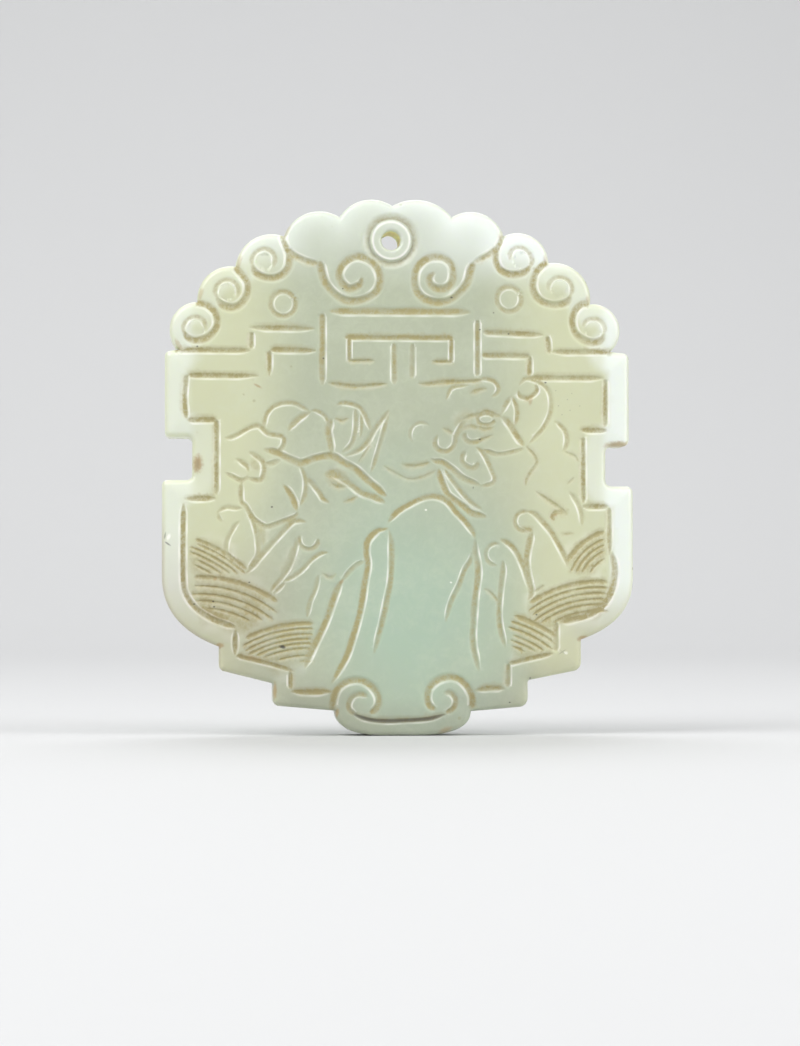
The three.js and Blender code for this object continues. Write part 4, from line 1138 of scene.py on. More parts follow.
@dataclass
class ReverseField:
    """The cartouche of the reverse with its spirals, and the bracket along each of its sides."""

    left: float = -9.5
    right: float = 8.5
    foot: float = 15.2
    top: float = 33.3
    divider: float = -0.3
    rows: int = 4

    def cuts(self) -> Iterator[Cut]:
        """Every stroke of the reverse's field."""
        edge = {"wide": 0.4, "depth": 0.34, "stain": 0.6, "taper": 0.6}
        yield Cut((self.left, self.foot, self.left - 0.1, self.top), bank=LEFT, **edge)
        yield Cut((self.right, self.foot, self.right - 0.2, self.top), bank=RIGHT, **edge)
        yield Cut((self.left, self.top, self.right, self.top), bank=EVEN, **edge)
        yield Cut((self.left, self.foot, self.right, self.foot), bank=EVEN, **edge)
        yield Cut((self.divider, self.foot, self.divider - 0.3, self.top), 0.34, 0.3)
        yield from self._spirals()
        yield from self._brackets()

    def _spirals(self) -> Iterator[Cut]:
        """Square spirals in two columns, a common filling pattern."""
        pitch = (self.top - self.foot) / self.rows
        columns = ((self.left, self.divider), (self.divider, self.right))
        for side, (low, high) in enumerate(columns):
            middle = (low + high) / 2
            half_x = (high - low) / 2 - 1.15
            half_z = pitch / 2 - 0.75
            turn = -1 if side else 1
            for row in range(self.rows):
                z = self.foot + pitch * (row + 0.5)
                flip = 1 if row % 2 else -1
                corners = ((-1, -1), (1, -1), (1, 1), (-0.55, 1), (-0.55, -0.3), (0.45, -0.3), (0.45, 0.35),
                           (-0.05, 0.35))
                path = tuple(n for u, v in corners for n in (middle + turn * u * half_x, z + flip * v * half_z))
                yield Cut(path, 0.27, 0.26, EVEN, 0.6, 0.4, straight=True)

    def _brackets(self) -> Iterator[Cut]:
        """Four brackets, each a spine between two curls that turn inwards."""
        thin = {"wide": 0.3, "depth": 0.3, "stain": 0.5, "taper": 0.8}
        yield Cut((13.3, 28.7, 12.2, 29.4, 12.6, 30.8, 14.0, 31.0, 15.3, 30.3, 15.8, 28.8, 16.1, 25.0, 16.2,
            21.5, 15.9, 19.6, 14.6, 18.9, 13.0, 19.3, 12.5, 20.9, 13.6, 22.0, 14.7, 21.3), bank=LEFT, **thin)
        yield Cut((-12.9, 27.4, -12.1, 28.2, -12.7, 29.4, -14.2, 29.8, -15.6, 29.2, -16.2, 27.6, -16.3, 23.0,
            -16.3, 18.9, -15.4, 17.4, -13.6, 17.0, -12.1, 17.9, -12.4, 19.3, -13.4, 19.5), bank=LEFT, **thin)
        yield Cut((-4.6, 36.4, -5.4, 35.6, -6.5, 36.3, -6.3, 37.8, -4.9, 38.7, -1.0, 38.7, 2.5, 38.6, 4.4, 38.2,
            5.0, 36.8, 4.3, 35.6, 3.1, 35.9), bank=RIGHT, **thin)
        yield Cut((3.6, 12.9, 4.9, 13.4, 5.8, 12.2, 5.4, 10.4, 3.9, 9.5, 0.5, 9.4, -3.0, 9.4, -4.9, 9.9, -5.6,
            11.3, -4.7, 12.7, -3.4, 12.3), bank=LEFT, **thin)
        for x, z, first in (
                (13.5, 29.7, 270), (13.9, 20.5, 20), (-13.5, 28.2, 300), (-13.5, 18.6, 60),
                (-5.2, 36.9, 300), (3.6, 36.9, 200), (4.3, 12.1, 160), (-4.2, 11.3, 30)):
            yield Cut(arc((x, z), 0.8, first, first + 250), 0.2, 0.2, LEFT, 0.4, 0.6)


SHARED_CARVING = (CrestCarving(), TabletCarving(), FrameCarving(), FOOT_SCROLLS)
FRONT_CARVING = (*WAVE_FANS, PEACH_BRANCH, WATER_PLANTS, ROCK, BUTTERFLY, RIGHT_LEAF)
REVERSE_CARVING = (ReverseField(),)


@dataclass
class HangingHole:
    """The hole drilled through the crest, with a ring left standing round it on each face."""

    centre: Point = (-0.9, 55.35)
    radius: float = 1.06
    mouth: float = 0.32
    drop: float = 0.6
    ring: float = 2.35
    groove: float = 0.95
    groove_depth: float = 0.42
    groove_stain: float = 0.5
    slope: float = 0.22
    # Where the painted highlight lies on the ring's rim, and half its breadth.
    lip_in: float = 0.28
    lip_half: float = 0.18
    rows: tuple[float, ...] = (-0.5, -0.28, -0.1, 0.12, 0.42)
    steepest: float = 0.999
    segments: int = 64

    def circle(self, radius: float) -> Array:
        """Points of a circle round the hole, clockwise so that the stone is on the left.

        Args:
            radius: radius of the circle.

        Returns:
            The points, one row each.
        """
        angles = -np.arange(self.segments) * 2 * math.pi / self.segments
        return np.array(self.centre) + radius * np.stack([np.cos(angles), np.sin(angles)], axis=1)

    def distance(self, points: Array) -> Array:
        """How far points are from the middle of the hole."""
        return np.hypot(points[..., 0] - self.centre[0], points[..., 1] - self.centre[1])

    def carve(self, relief: Relief) -> None:
        """Sink the ground round the ring, stain its groove and paint a highlight along its rim.

        Args:
            relief: the face to carve.
        """
        grid = np.stack(np.meshgrid(relief.xs, relief.zs), axis=-1)
        away = self.distance(grid) - self.ring
        inner = np.clip(-away / self.slope, 0, 1)
        outer = np.clip(away / self.groove, 0, 1)
        bowl = np.clip(1 - np.where(away < 0, inner, outer) ** 2, 0, 1) ** 2
        relief.depth = np.maximum(relief.depth, self.groove_depth * bowl)
        relief.stain = np.maximum(relief.stain, self.groove_stain * bowl * (away > 0))
        # Painted highlight along the ring's rim.
        relief.painted_highlight = np.maximum(relief.painted_highlight, np.clip(1 - np.abs(away + self.lip_in) / self.lip_half, 0, 1))
        relief.marks += [self.circle(self.ring + offset) for offset in self.rows]

    def mouth_drop(self, points: Array) -> Array:
        """How far the mouth falls away below the face.

        Args:
            points: places on the face.

        Returns:
            The drop at each.
        """
        share = np.clip((self.distance(points) - self.radius) / self.mouth, 0, 1)
        return self.drop * (1 - np.sqrt(1 - (1 - share) ** 2 * self.steepest))


@dataclass
class EdgeProfile:
    """How the faces fall away to the rim: a tight rounding and a broad soft slope inside it."""

    rounding: float = 0.55
    slope_reach: float = 2.3
    slope_drop: float = 0.36
    pillow_reach: float = 4.6
    pillow_drop: float = 0.42
    pillow_foot: float = 50.5
    pillow_rise: float = 3.5
    rows: int = 5

    def drop(self, inside: Array) -> Array:
        """Drop below the face at a distance inside the outline."""
        share = np.clip(1 - inside / self.rounding, 0, 1)
        return self.rounding * (1 - np.sqrt(np.clip(1 - share ** 2, 0, 1)))

    def pillow(self, inside: Array, up: Array) -> Array:
        """Share of the crest's pillowy fall, from nothing inside its lobes to one at their edge."""
        crest = smooth_step((up - self.pillow_foot) / self.pillow_rise)
        return crest * np.clip(1 - inside / self.pillow_reach, 0, 1) ** 2

    def soft(self, inside: Array, up: Array) -> Array:
        """Drop of the broad slope at a distance inside the outline and a height up the plaque."""
        border = self.slope_drop * np.clip(1 - inside / self.slope_reach, 0, 1) ** 1.5
        return np.maximum(border, self.pillow_drop * self.pillow(inside, up))

    def distances(self) -> Array:
        """Distances of the rows of points that follow the rounding."""
        angles = np.linspace(0, math.pi / 2, self.rows + 1)[1:]
        return self.rounding * (1 - np.cos(angles))


@dataclass
class CarvedFace:
    """One face of the stone: its relief, the points of its mesh and what each point carries."""

    face: Face
    outline: Outline
    hole: HangingHole
    edge: EdgeProfile
    cuts: list[Cut]
    sight: Point
    seed: int
    tolerance: float = 0.03
    crowd: float = 0.085
    clearance: float = 0.15
    swells: tuple[Point, ...] = ((0.022, 9), (0.01, 3.5))
    swell_floor: float = 0.03
    relief: Relief = field(init=False)
    inside: Array = field(init=False)
    points: Array = field(init=False)
    rim: Array = field(init=False)
    triangles: Array = field(init=False)

    def __post_init__(self) -> None:
        """Carve the relief and lay the mesh over it."""
        self.relief = Relief()
        self.inside = self._distances()
        self.relief.carve((replace(cut, path=self._seen(cut.path)) for cut in self.cuts), self.seed)
        for centre, radius, drop in CrestCarving().buttons():
            self.relief.dome(self._seen(centre), radius, drop)
        self.hole.carve(self.relief)
        x, z = self.relief.xs[None, :], self.relief.zs[:, None]
        swell = sum(
            high * waves(x, z, long, self.seed + more) for more, (high, long) in enumerate(self.swells))
        self.relief.depth += self.edge.soft(self.inside, z)
        self.relief.depth += np.clip(swell + self.swell_floor, 0, 1)
        self._lay_mesh()

    def _seen(self, places: Path) -> Path:
        """Where points of the carving lie on the face."""
        return tuple((np.reshape(places, (-1, 2)) + self.sight).ravel().tolist())

    def _distances(self) -> Array:
        """Distance inside the outline at each sample, zero outside."""
        reach = self.edge.pillow_reach + 0.2
        line = np.vstack([self.outline.points, self.outline.points[:1]])
        near = self.relief.nearest(line, reach)
        distance = np.full(self.relief.depth.shape, reach)
        distance[near.window] = near.distance
        return np.where(self._covered(line), distance, 0)

    def _covered(self, line: Array) -> Array:
        """Which samples lie within the closed line.

        Args:
            line: the points of the line, first and last the same.

        Returns:
            Whether each sample does.
        """
        a, b = line[:-1], line[1:]
        covered = np.zeros(self.relief.depth.shape, bool)
        for row, z in enumerate(self.relief.zs):
            crosses = (a[:, 1] > z) != (b[:, 1] > z)
            share = (z - a[crosses, 1]) / (b[crosses, 1] - a[crosses, 1])
            at = np.sort(a[crosses, 0] + share * (b[crosses, 0] - a[crosses, 0]))
            covered[row] = np.searchsorted(at, self.relief.xs) % 2 == 1
        return covered

    def _rim_rows(self) -> tuple[Array, Array]:
        """Points that follow the rounded edge, row by row inside the outline, and their distances from it."""
        line = self.outline.points
        before, after = np.roll(line, 1, axis=0), np.roll(line, -1, axis=0)
        way = after - before
        inward = np.stack([-way[:, 1], way[:, 0]], axis=1) / np.hypot(*way.T)[:, None]
        clefts = [int(np.argmin(np.hypot(*(line - cleft).T))) for cleft in self.outline.clefts]
        smooth = np.setdiff1d(np.arange(len(line)), clefts)
        rows, wanted = [], []
        for distance in self.edge.distances():
            rows.append(line[smooth] + inward[smooth] * distance)
            for i in clefts:
                ways = [line[i] - before[i], after[i] - line[i]]
                ends = [math.atan2(w[0], -w[1]) for w in ways]
                spread = (ends[1] - ends[0] + math.pi) % (2 * math.pi) - math.pi
                count = max(2, math.ceil(abs(spread) * distance / self.outline.spacing))
                angles = ends[0] + spread * np.linspace(0, 1, count + 1)
                rows.append(line[i] + distance * np.stack([np.cos(angles), np.sin(angles)], axis=1))
            wanted += [distance] * (sum(map(len, rows)) - len(wanted))
        points, wanted = np.vstack(rows), np.array(wanted)
        kept = self.relief.sample(self.inside, points) > wanted - 0.04
        return points[kept], wanted[kept]

    def _graded(self) -> Array:
        """Points over the face, close where the relief bends and far apart where it is flat."""
        sizes = (16, 8, 4)
        rows = (self.relief.depth.shape[0] - 1) // sizes[0] * sizes[0]
        cols = (self.relief.depth.shape[1] - 1) // sizes[0] * sizes[0]
        height = self.relief.depth[:rows + 1, :cols + 1]
        split: dict[int, Array] = {}
        finer = None
        for size in (8, 16):
            rough = self._bend(height, size) > self.tolerance
            if finer is not None:
                rough |= finer[0::2, 0::2] | finer[1::2, 0::2] | finer[0::2, 1::2] | finer[1::2, 1::2]
            finer = split[size] = self._grown(rough)
        node = np.zeros(height.shape, bool)
        parent = np.ones((rows // sizes[0], cols // sizes[0]), bool)
        for size in sizes:
            leaf = parent & ~split[size] if size in split else parent
            i, j = np.nonzero(leaf)
            for di in (0, size):
                for dj in (0, size):
                    node[i * size + di, j * size + dj] = True
            if size in split:
                parent = np.repeat(np.repeat(parent & split[size], 2, axis=0), 2, axis=1)
        i, j = np.nonzero(node)
        points = np.stack([self.relief.xs[j], self.relief.zs[i]], axis=1)
        draw = np.random.default_rng(self.seed)
        return points + draw.uniform(-0.004, 0.004, points.shape)

    @staticmethod
    def _bend(height: Array, size: int) -> Array:
        """How far each square block departs from the plane through its corners.

        Args:
            height: heights of the samples.
            size: side of a block, in samples.

        Returns:
            One departure for each block.
        """
        a, b = height[:-1:size, :-1:size], height[:-1:size, size::size]
        c, d = height[size::size, :-1:size], height[size::size, size::size]
        worst = np.zeros(a.shape)
        for i in range(0, size + 1, 2):
            for j in range(0, size + 1, 2):
                u, v = j / size, i / size
                flat = (a * (1 - u) + b * u) * (1 - v) + (c * (1 - u) + d * u) * v
                here = height[i:height.shape[0] - size + i:size, j:height.shape[1] - size + j:size]
                worst = np.maximum(worst, np.abs(here - flat))
        return worst

    @staticmethod
    def _grown(marks: Array) -> Array:
        """Marked blocks with the blocks beside them."""
        out = marks.copy()
        out[1:] |= marks[:-1]
        out[:-1] |= marks[1:]
        out[:, 1:] |= marks[:, :-1]
        out[:, :-1] |= marks[:, 1:]
        return out

    def _clear(self, points: Array) -> Array:
        """The points that keep off the rounded edge and the hole's mouth."""
        deep = self.relief.sample(self.inside, points) > self.edge.rounding + self.crowd
        return points[deep & (self.hole.distance(points) > self.hole.radius + self.hole.mouth + self.crowd)]

    def _thinned(self, points: Array) -> Array:
        """The points with only the first of those that share a small cell."""
        cells = np.floor(points / self.crowd).astype(int)
        first = np.unique(cells, axis=0, return_index=True)[1]
        return points[np.sort(first)]

    def _away(self, points: Array, others: Array) -> Array:
        """The points that have none of the others in their cell or the cells beside it.

        Args:
            points: the points.
            others: points to keep away from.

        Returns:
            Those that stay.
        """
        width = 4096
        taken = set()
        cells = np.floor(others / self.clearance).astype(int)
        for i in (-1, 0, 1):
            for j in (-1, 0, 1):
                taken.update(((cells[:, 0] + i) * width + cells[:, 1] + j).tolist())
        own = np.floor(points / self.clearance).astype(int)
        keys = (own[:, 0] * width + own[:, 1]).tolist()
        return points[[key not in taken for key in keys]]

    def _lay_mesh(self) -> None:
        """Lay points and triangles, with the outline's points first and the hole's after them."""
        loop, ring = self.outline.points, self.hole.circle(self.hole.radius)
        mouth = [self.hole.circle(self.hole.radius + self.hole.mouth * s) for s in (0.12, 0.4, 1.0)]
        rim_points, rim = self._rim_rows()
        strokes = self._thinned(self._clear(np.vstack(self.relief.marks)))
        spread = self._away(self._clear(self._graded()), strokes)
        self.points = np.vstack([loop, ring, *mouth, rim_points, strokes, spread])
        fixed = len(loop) + 4 * len(ring)
        self.rim = self.relief.sample(self.inside, self.points)
        self.rim[:len(loop)] = 0
        self.rim[fixed:fixed + len(rim)] = rim
        borders = []
        for start, count in ((0, len(loop)), (len(loop), len(ring))):
            borders += [(start + i, start + (i + 1) % count) for i in range(count)]
        found = delaunay_2d_cdt([Vector(p) for p in self.points.tolist()], borders, [], 2, 1e-7)
        source = np.array([s[0] if s else -1 for s in found[3]])
        if source.min() < 0:
            raise RuntimeError("the outline crosses itself")
        triangles = source[np.array([tuple(f) for f in found[2]])]
        middles = self.points[triangles].mean(axis=1)
        self.triangles = triangles[self.hole.distance(middles) > self.hole.radius * 0.99]

    def heights(self) -> Array:
        """How far each point lies below the highest plane of the face."""
        depth = self.relief.sample(self.relief.depth, self.points)
        return depth + self.edge.drop(self.rim) + self.hole.mouth_drop(self.points)

    def places(self) -> Array:
        """Where the points are in space, in millimetres."""
        y = self.face.value * (THICKNESS / 2 - self.heights())
        return np.stack([self.points[:, 0], y, self.points[:, 1]], axis=1)

    def normals(self) -> Array:
        """The way each point of the open face looks, taken from the relief."""
        slope_z, slope_x = np.gradient(self.relief.depth, self.relief.step)
        x = self.relief.sample(slope_x, self.points)
        z = self.relief.sample(slope_z, self.points)
        way = np.stack([x, np.full(len(x), self.face.value), z], axis=1)
        return way / np.linalg.norm(way, axis=1)[:, None]


@dataclass(frozen=True)
class Rise:
    """A smooth rise from 0 to 1.

    Attributes:
        start: where it starts.
        length: how far it runs, below zero towards lower values.
    """

    start: float
    length: float

    def at(self, values: Array) -> Array:
        """The share at each value."""
        return smooth_step((values - self.start) / self.length)


@dataclass(frozen=True)
class StoneTones:
    """Painted glow and sheen toward the border and the crest, stronger to the right, and painted shade low
    down, along the left rim and in the lower corners.

    Attributes:
        border: the pale border, by the distance inside the outline.
        border_up: where the border sets in above the foot.
        crest: where the crest begins.
        right: how the pale tone gains from left to right.
        lobes: paleness of the crest: everywhere, more to the right, more where its lobes fall away.
        knee: where the pale border begins, from the middle.
        knee_low: how much nearer it begins low down.
        knee_up: how that changes with height.
        knee_fade: over how far the border begins.
        inner: paleness inside the knee, as a share.
        sides: paleness of the border: everywhere, and more to the right.
        rim: how the very rim takes paleness back.
        rim_loss: how much of it.
        low: painted shade of the foot, by height.
        foot: painted shade of the foot, by the distance inside the outline.
        low_dusk: how dark that painted shade is.
        shades: painted shade on the left wall's rim: across, at the rim and up.
        shade_dusk: how dark that painted shade is.
        corners: painted shade in the lower corners, left and right: how dark, across and up.
    """

    border: Rise = Rise(3.2, -1.3)
    border_up: Rise = Rise(9, 9)
    crest: Rise = Rise(49, 6)
    right: Rise = Rise(-6, 26)
    lobes: tuple[float, float, float] = (0.3, 0.62, 0.55)
    knee: float = 22.3
    knee_low: float = 3.2
    knee_up: Rise = Rise(14, 6)
    knee_fade: float = 1.5
    inner: float = 0.5
    sides: Point = (0.56, 0.35)
    rim: Rise = Rise(0, 0.7)
    rim_loss: float = 0.55
    low: Rise = Rise(2, 12)
    foot: Rise = Rise(4.8, -3)
    low_dusk: float = 0.38
    shades: tuple[Rise, Rise, Rise] = (Rise(-12, -10), Rise(0, 0.6), Rise(19, 8))
    shade_dusk: float = 0.9
    corners: tuple[tuple[float, Rise, Rise], ...] = (
        (0.42, Rise(-9, -8), Rise(16, 8)), (0.3, Rise(14, 8), Rise(12, 7)))

    def of(self, face: CarvedFace) -> tuple[Array, Array]:
        """How much painted glow and painted shade each point of a face gets.

        Args:
            face: the face.

        Returns:
            Painted glow and painted shade of each point, from 0 to 1.
        """
        across, up = face.points.T
        crest, right = self.crest.at(up), self.right.at(across)
        plain, aside, fallen = self.lobes
        lobes = crest * (plain + aside * right + fallen * face.edge.pillow(face.rim, up))
        knee = self.knee - self.knee_low * (1 - self.knee_up.at(up))
        outer = self.inner + (1 - self.inner) * smooth_step((np.abs(across) - knee) / self.knee_fade + crest)
        sides = self.sides[0] + self.sides[1] * right
        border = self.border.at(face.rim) * self.border_up.at(up) * outer * sides
        # pale: painted glow and sheen, weaker at the very rim.
        pale = np.clip(np.maximum(border, lobes), 0, 1) * (1 - self.rim_loss * (1 - self.rim.at(face.rim)))
        # Painted shade on the left rim low down, at the foot and in the lower corners.
        wall, rim, height = self.shades
        painted_shade = self.shade_dusk * wall.at(across) * (1 - rim.at(face.rim)) * (1 - height.at(up))
        painted_shade = np.maximum(painted_shade, self.low_dusk * (1 - self.low.at(up)) * self.foot.at(face.rim))
        for strength, wall, height in self.corners:
            painted_shade = np.maximum(painted_shade, strength * wall.at(across) * (1 - height.at(up)))
        return pale, np.clip(painted_shade, 0, 1)


@dataclass
class Plaque:
    """The whole stone: two carved faces, the ground wall between them and the drilled bore."""

    outline: Outline = field(default_factory=Outline)
    hole: HangingHole = field(default_factory=HangingHole)
    edge: EdgeProfile = field(default_factory=EdgeProfile)
    wall_rows: int = 6
    bore_waist: float = 0.06
    tones: StoneTones = StoneTones()
    sight: Point = (-0.16, -0.15)

    def build(self) -> bpy.types.Object:
        """Make the stone's mesh.

        Returns:
            The finished object, dressed and tied to the frame.
        """
        sides = (Face.FRONT, FRONT_CARVING, self.sight, 5), (Face.REVERSE, REVERSE_CARVING, (0, 0), 23)
        faces = [
            CarvedFace(side, self.outline, self.hole, self.edge, self._cuts(own), sight, seed)
            for side, own, sight, seed in sides]
        for face in faces:
            name = face.face.name.lower()
            LOG.info("%s face: %d cuts, %d triangles", name, len(face.cuts), len(face.triangles))
        places = [face.places() for face in faces]
        starts = [0, len(places[0])]
        polygons = [faces[0].triangles, faces[1].triangles[:, ::-1] + starts[1]]
        kinds = [np.zeros(len(polygons[0]), int), np.full(len(polygons[1]), 3)]
        loop, ring = len(self.outline.points), self.hole.segments
        for first, count, kind in ((0, loop, 1), (loop, ring, 2)):
            rows = self._between(places[0][first:first + count], places[1][first:first + count], kind)
            base = sum(map(len, places))
            places.append(rows.reshape(-1, 3))
            strip = [np.arange(count) + first]
            strip += [np.arange(count) + base + count * row for row in range(len(rows))]
            strip.append(np.arange(count) + starts[1] + first)
            for low, high in zip(strip[:-1], strip[1:]):
                quads = np.stack([low, high, np.roll(high, -1), np.roll(low, -1)], axis=1)
                halves = np.vstack([quads[:, [0, 1, 2]], quads[:, [0, 2, 3]]])
                polygons.append(halves)
                kinds.append(np.full(len(halves), kind))
        mesh = self._mesh(np.vstack(places), np.vstack(polygons), np.concatenate(kinds))
        self._carry(mesh, faces)
        self._shade(mesh, faces)
        stone = bpy.data.objects.new("plaque_stone", mesh)
        bpy.context.scene.collection.objects.link(stone)
        for finish in (POLISHED, GROUND, DRILLED, REVERSE):
            mesh.materials.append(finish.material())
        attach(stone, BODY)
        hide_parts(NODE)
        return stone

    @staticmethod
    def _cuts(own: tuple) -> list[Cut]:
        """Every cut of a face: those that both faces have and its own."""
        return [cut for part in (*SHARED_CARVING, *own) for cut in part.cuts()]

    def _between(self, front: Array, back: Array, kind: int) -> Array:
        """Rows of points between the two faces.

        Args:
            front: points of the front face's border.
            back: points of the reverse face's border.
            kind: 1 for the outer wall, 2 for the bore.

        Returns:
            The rows from front to back.
        """
        shares = np.linspace(0, 1, self.wall_rows + 2)[1:-1]
        rows = np.array([front + (back - front) * share for share in shares])
        if kind == 2:
            middle = np.array([self.hole.centre[0], 0, self.hole.centre[1]])
            inward = (middle - rows) * [1, 0, 1] / self.hole.radius
            rows += inward * (self.bore_waist * np.sin(np.pi * shares) ** 2)[:, None, None]
        return rows

    @staticmethod
    def _mesh(places: Array, triangles: Array, kinds: Array) -> bpy.types.Mesh:
        """A mesh of the points and triangles, with a material for each kind of triangle.

        Args:
            places: the points, in millimetres.
            triangles: three points for each.
            kinds: material of each.

        Returns:
            The mesh.
        """
        mesh = bpy.data.meshes.new("plaque_stone")
        mesh.vertices.add(len(places))
        mesh.vertices.foreach_set("co", (places * MM).astype(np.float32).ravel())
        mesh.loops.add(triangles.size)
        mesh.loops.foreach_set("vertex_index", triangles.astype(np.int32).ravel())
        mesh.polygons.add(len(triangles))
        mesh.polygons.foreach_set("loop_start", np.arange(0, triangles.size, 3, dtype=np.int32))
        mesh.polygons.foreach_set("material_index", kinds.astype(np.int32))
        mesh.polygons.foreach_set("use_smooth", np.ones(len(triangles), bool))
        mesh.update(calc_edges=True)
        mesh.validate()
        return mesh

    def _carry(self, mesh: bpy.types.Mesh, faces: list[CarvedFace]) -> None:
        """Store on each point its stain, its painted glow and painted shade, its darkening, and its painted
        highlight.

        Args:
            mesh: the stone's mesh.
            faces: the carved faces, in the order of their points.
        """
        count = len(mesh.vertices)
        layers = {name: np.zeros(count) for name in ("stain", "painted_highlight", "pale", "painted_shade", "darkening")}
        # Points of the ground wall and the bore take the painted glow at full strength.
        layers["pale"][:] = 1
        first = 0
        for face in faces:
            part = slice(first, first + len(face.points))
            for name in ("stain", "painted_highlight", "darkening"):
                layers[name][part] = face.relief.sample(getattr(face.relief, name), face.points)
            layers["pale"][part], layers["painted_shade"][part] = self.tones.of(face)
            first += len(face.points)
        for name, values in layers.items():
            layer = mesh.attributes.new(name, "FLOAT", "POINT")
            layer.data.foreach_set("value", values.astype(np.float32))

    def _shade(self, mesh: bpy.types.Mesh, faces: list[CarvedFace]) -> None:
        """Give the open faces the normals of their relief, and keep the clefts and bore edges crisp.

        Args:
            mesh: the stone's mesh.
            faces: the carved faces, in the order of their points.
        """
        mesh.set_sharp_from_angle(angle=math.radians(50))
        corners = np.zeros(len(mesh.loops) * 3, np.float32)
        mesh.corner_normals.foreach_get("vector", corners)
        corners = corners.reshape(-1, 3)
        vertex = np.zeros(len(mesh.loops), np.int32)
        mesh.loops.foreach_get("vertex_index", vertex)
        count = len(mesh.vertices)
        open_face, relief = np.zeros(count, bool), np.zeros((count, 3))
        first = 0
        for face in faces:
            part = slice(first, first + len(face.points))
            beyond = face.hole.distance(face.points) > face.hole.radius + face.hole.mouth + 0.01
            open_face[part] = (face.rim > self.edge.rounding + 0.02) & beyond
            relief[part] = face.normals()
            first += len(face.points)
        chosen = open_face[vertex]
        corners[chosen] = relief[vertex[chosen]]
        mesh.normals_split_custom_set(corners.tolist())


Colour = tuple[float, float, float]
Node = bpy.types.Node
Socket = bpy.types.NodeSocket


@dataclass
class Graph:
    """A node tree with short ways to add and join nodes."""

    tree: bpy.types.NodeTree

    def add(self, kind: str, **values: object) -> Node:
        """Add a node and set its properties.

        Args:
            kind: kind of the node.
            values: its properties.

        Returns:
            The node.
        """
        node = self.tree.nodes.new(kind)
        for name, value in values.items():
            setattr(node, name, value)
        return node

    def feed(self, socket: Socket, value: object) -> None:
        """Link a socket or set a plain value on an input.

        Args:
            socket: the input.
            value: a socket, or a plain value.
        """
        if isinstance(value, Socket):
            self.tree.links.new(value, socket)
        elif isinstance(value, tuple) and socket.type == "RGBA":
            socket.default_value = (*value, 1)
        else:
            socket.default_value = value

    def math(self, operation: str, *values: object, clamp: bool = False) -> Socket:
        """A sum, product or other operation on numbers.

        Args:
            operation: what is done.
            values: the numbers or sockets.
            clamp: keep it between 0 and 1.

        Returns:
            The socket of the result.
        """
        node = self.add("ShaderNodeMath", operation=operation, use_clamp=clamp)
        for socket, value in zip(node.inputs, values):
            self.feed(socket, value)
        return node.outputs[0]

    def mix(self, share: object, first: object, second: object, blend: str = "MIX") -> Socket:
        """A colour between two colours, or the first multiplied by a share of the second.

        Args:
            share: share of the second.
            first: first colour.
            second: second colour.
            blend: how they mix.

        Returns:
            The socket of the result.
        """
        node = self.add("ShaderNodeMix", data_type="RGBA", blend_type=blend)
        self.feed(node.inputs[0], share)
        self.feed(node.inputs[6], first)
        self.feed(node.inputs[7], second)
        return node.outputs[2]

    def noise(self, place: object, scale: float, detail: float = 3, rough: float = 0.5,
              twist: float = 0) -> Socket:
        """A soft noise between 0 and 1.

        Args:
            place: where it is read.
            scale: how fine it is.
            detail: how many finer layers.
            rough: how strong those are.
            twist: how far it is twisted.

        Returns:
            The socket of the result.
        """
        node = self.add("ShaderNodeTexNoise")
        self.feed(node.inputs["Vector"], place)
        for name, value in (("Scale", scale), ("Detail", detail), ("Roughness", rough), ("Distortion", twist)):
            node.inputs[name].default_value = value
        return node.outputs["Fac"]

    def ramp(self, share: object, low: float, high: float, to: Point = (0, 1)) -> Socket:
        """A smooth rise between two values.

        Args:
            share: what rises.
            low: where it starts.
            high: where it ends.
            to: values before and after.

        Returns:
            The socket of the result.
        """
        node = self.add("ShaderNodeMapRange", interpolation_type="SMOOTHSTEP")
        for socket, value in zip(node.inputs, (share, low, high, *to)):
            self.feed(socket, value)
        return node.outputs[0]

    def carried(self, name: str) -> Socket:
        """A value that the mesh carries on its points."""
        return self.add("ShaderNodeAttribute", attribute_name=name).outputs["Fac"]

    def place(self) -> Socket:
        """The place on the stone, in its own frame."""
        return self.add("ShaderNodeTexCoord").outputs["Object"]


def node_group(name: str, inputs: dict[str, object], outputs: dict[str, str]) -> tuple[Graph, dict, dict]:
    """Start a shader node group.

    Args:
        name: name of the group.
        inputs: each input with its value, a number, or a colour as a tuple.
        outputs: each output with its socket type.

    Returns:
        The group's graph, its input sockets and its output sockets.
    """
    tree = bpy.data.node_groups.new(name, "ShaderNodeTree")
    for label, value in inputs.items():
        kind = "NodeSocketColor" if isinstance(value, tuple) else "NodeSocketFloat"
        socket = tree.interface.new_socket(label, in_out="INPUT", socket_type=kind)
        socket.default_value = (*value, 1) if isinstance(value, tuple) else value
    for label, kind in outputs.items():
        tree.interface.new_socket(label, in_out="OUTPUT", socket_type=kind)
    graph = Graph(tree)
    entry, end = graph.add("NodeGroupInput"), graph.add("NodeGroupOutput")
    return graph, dict(entry.outputs.items()), dict(end.inputs.items())


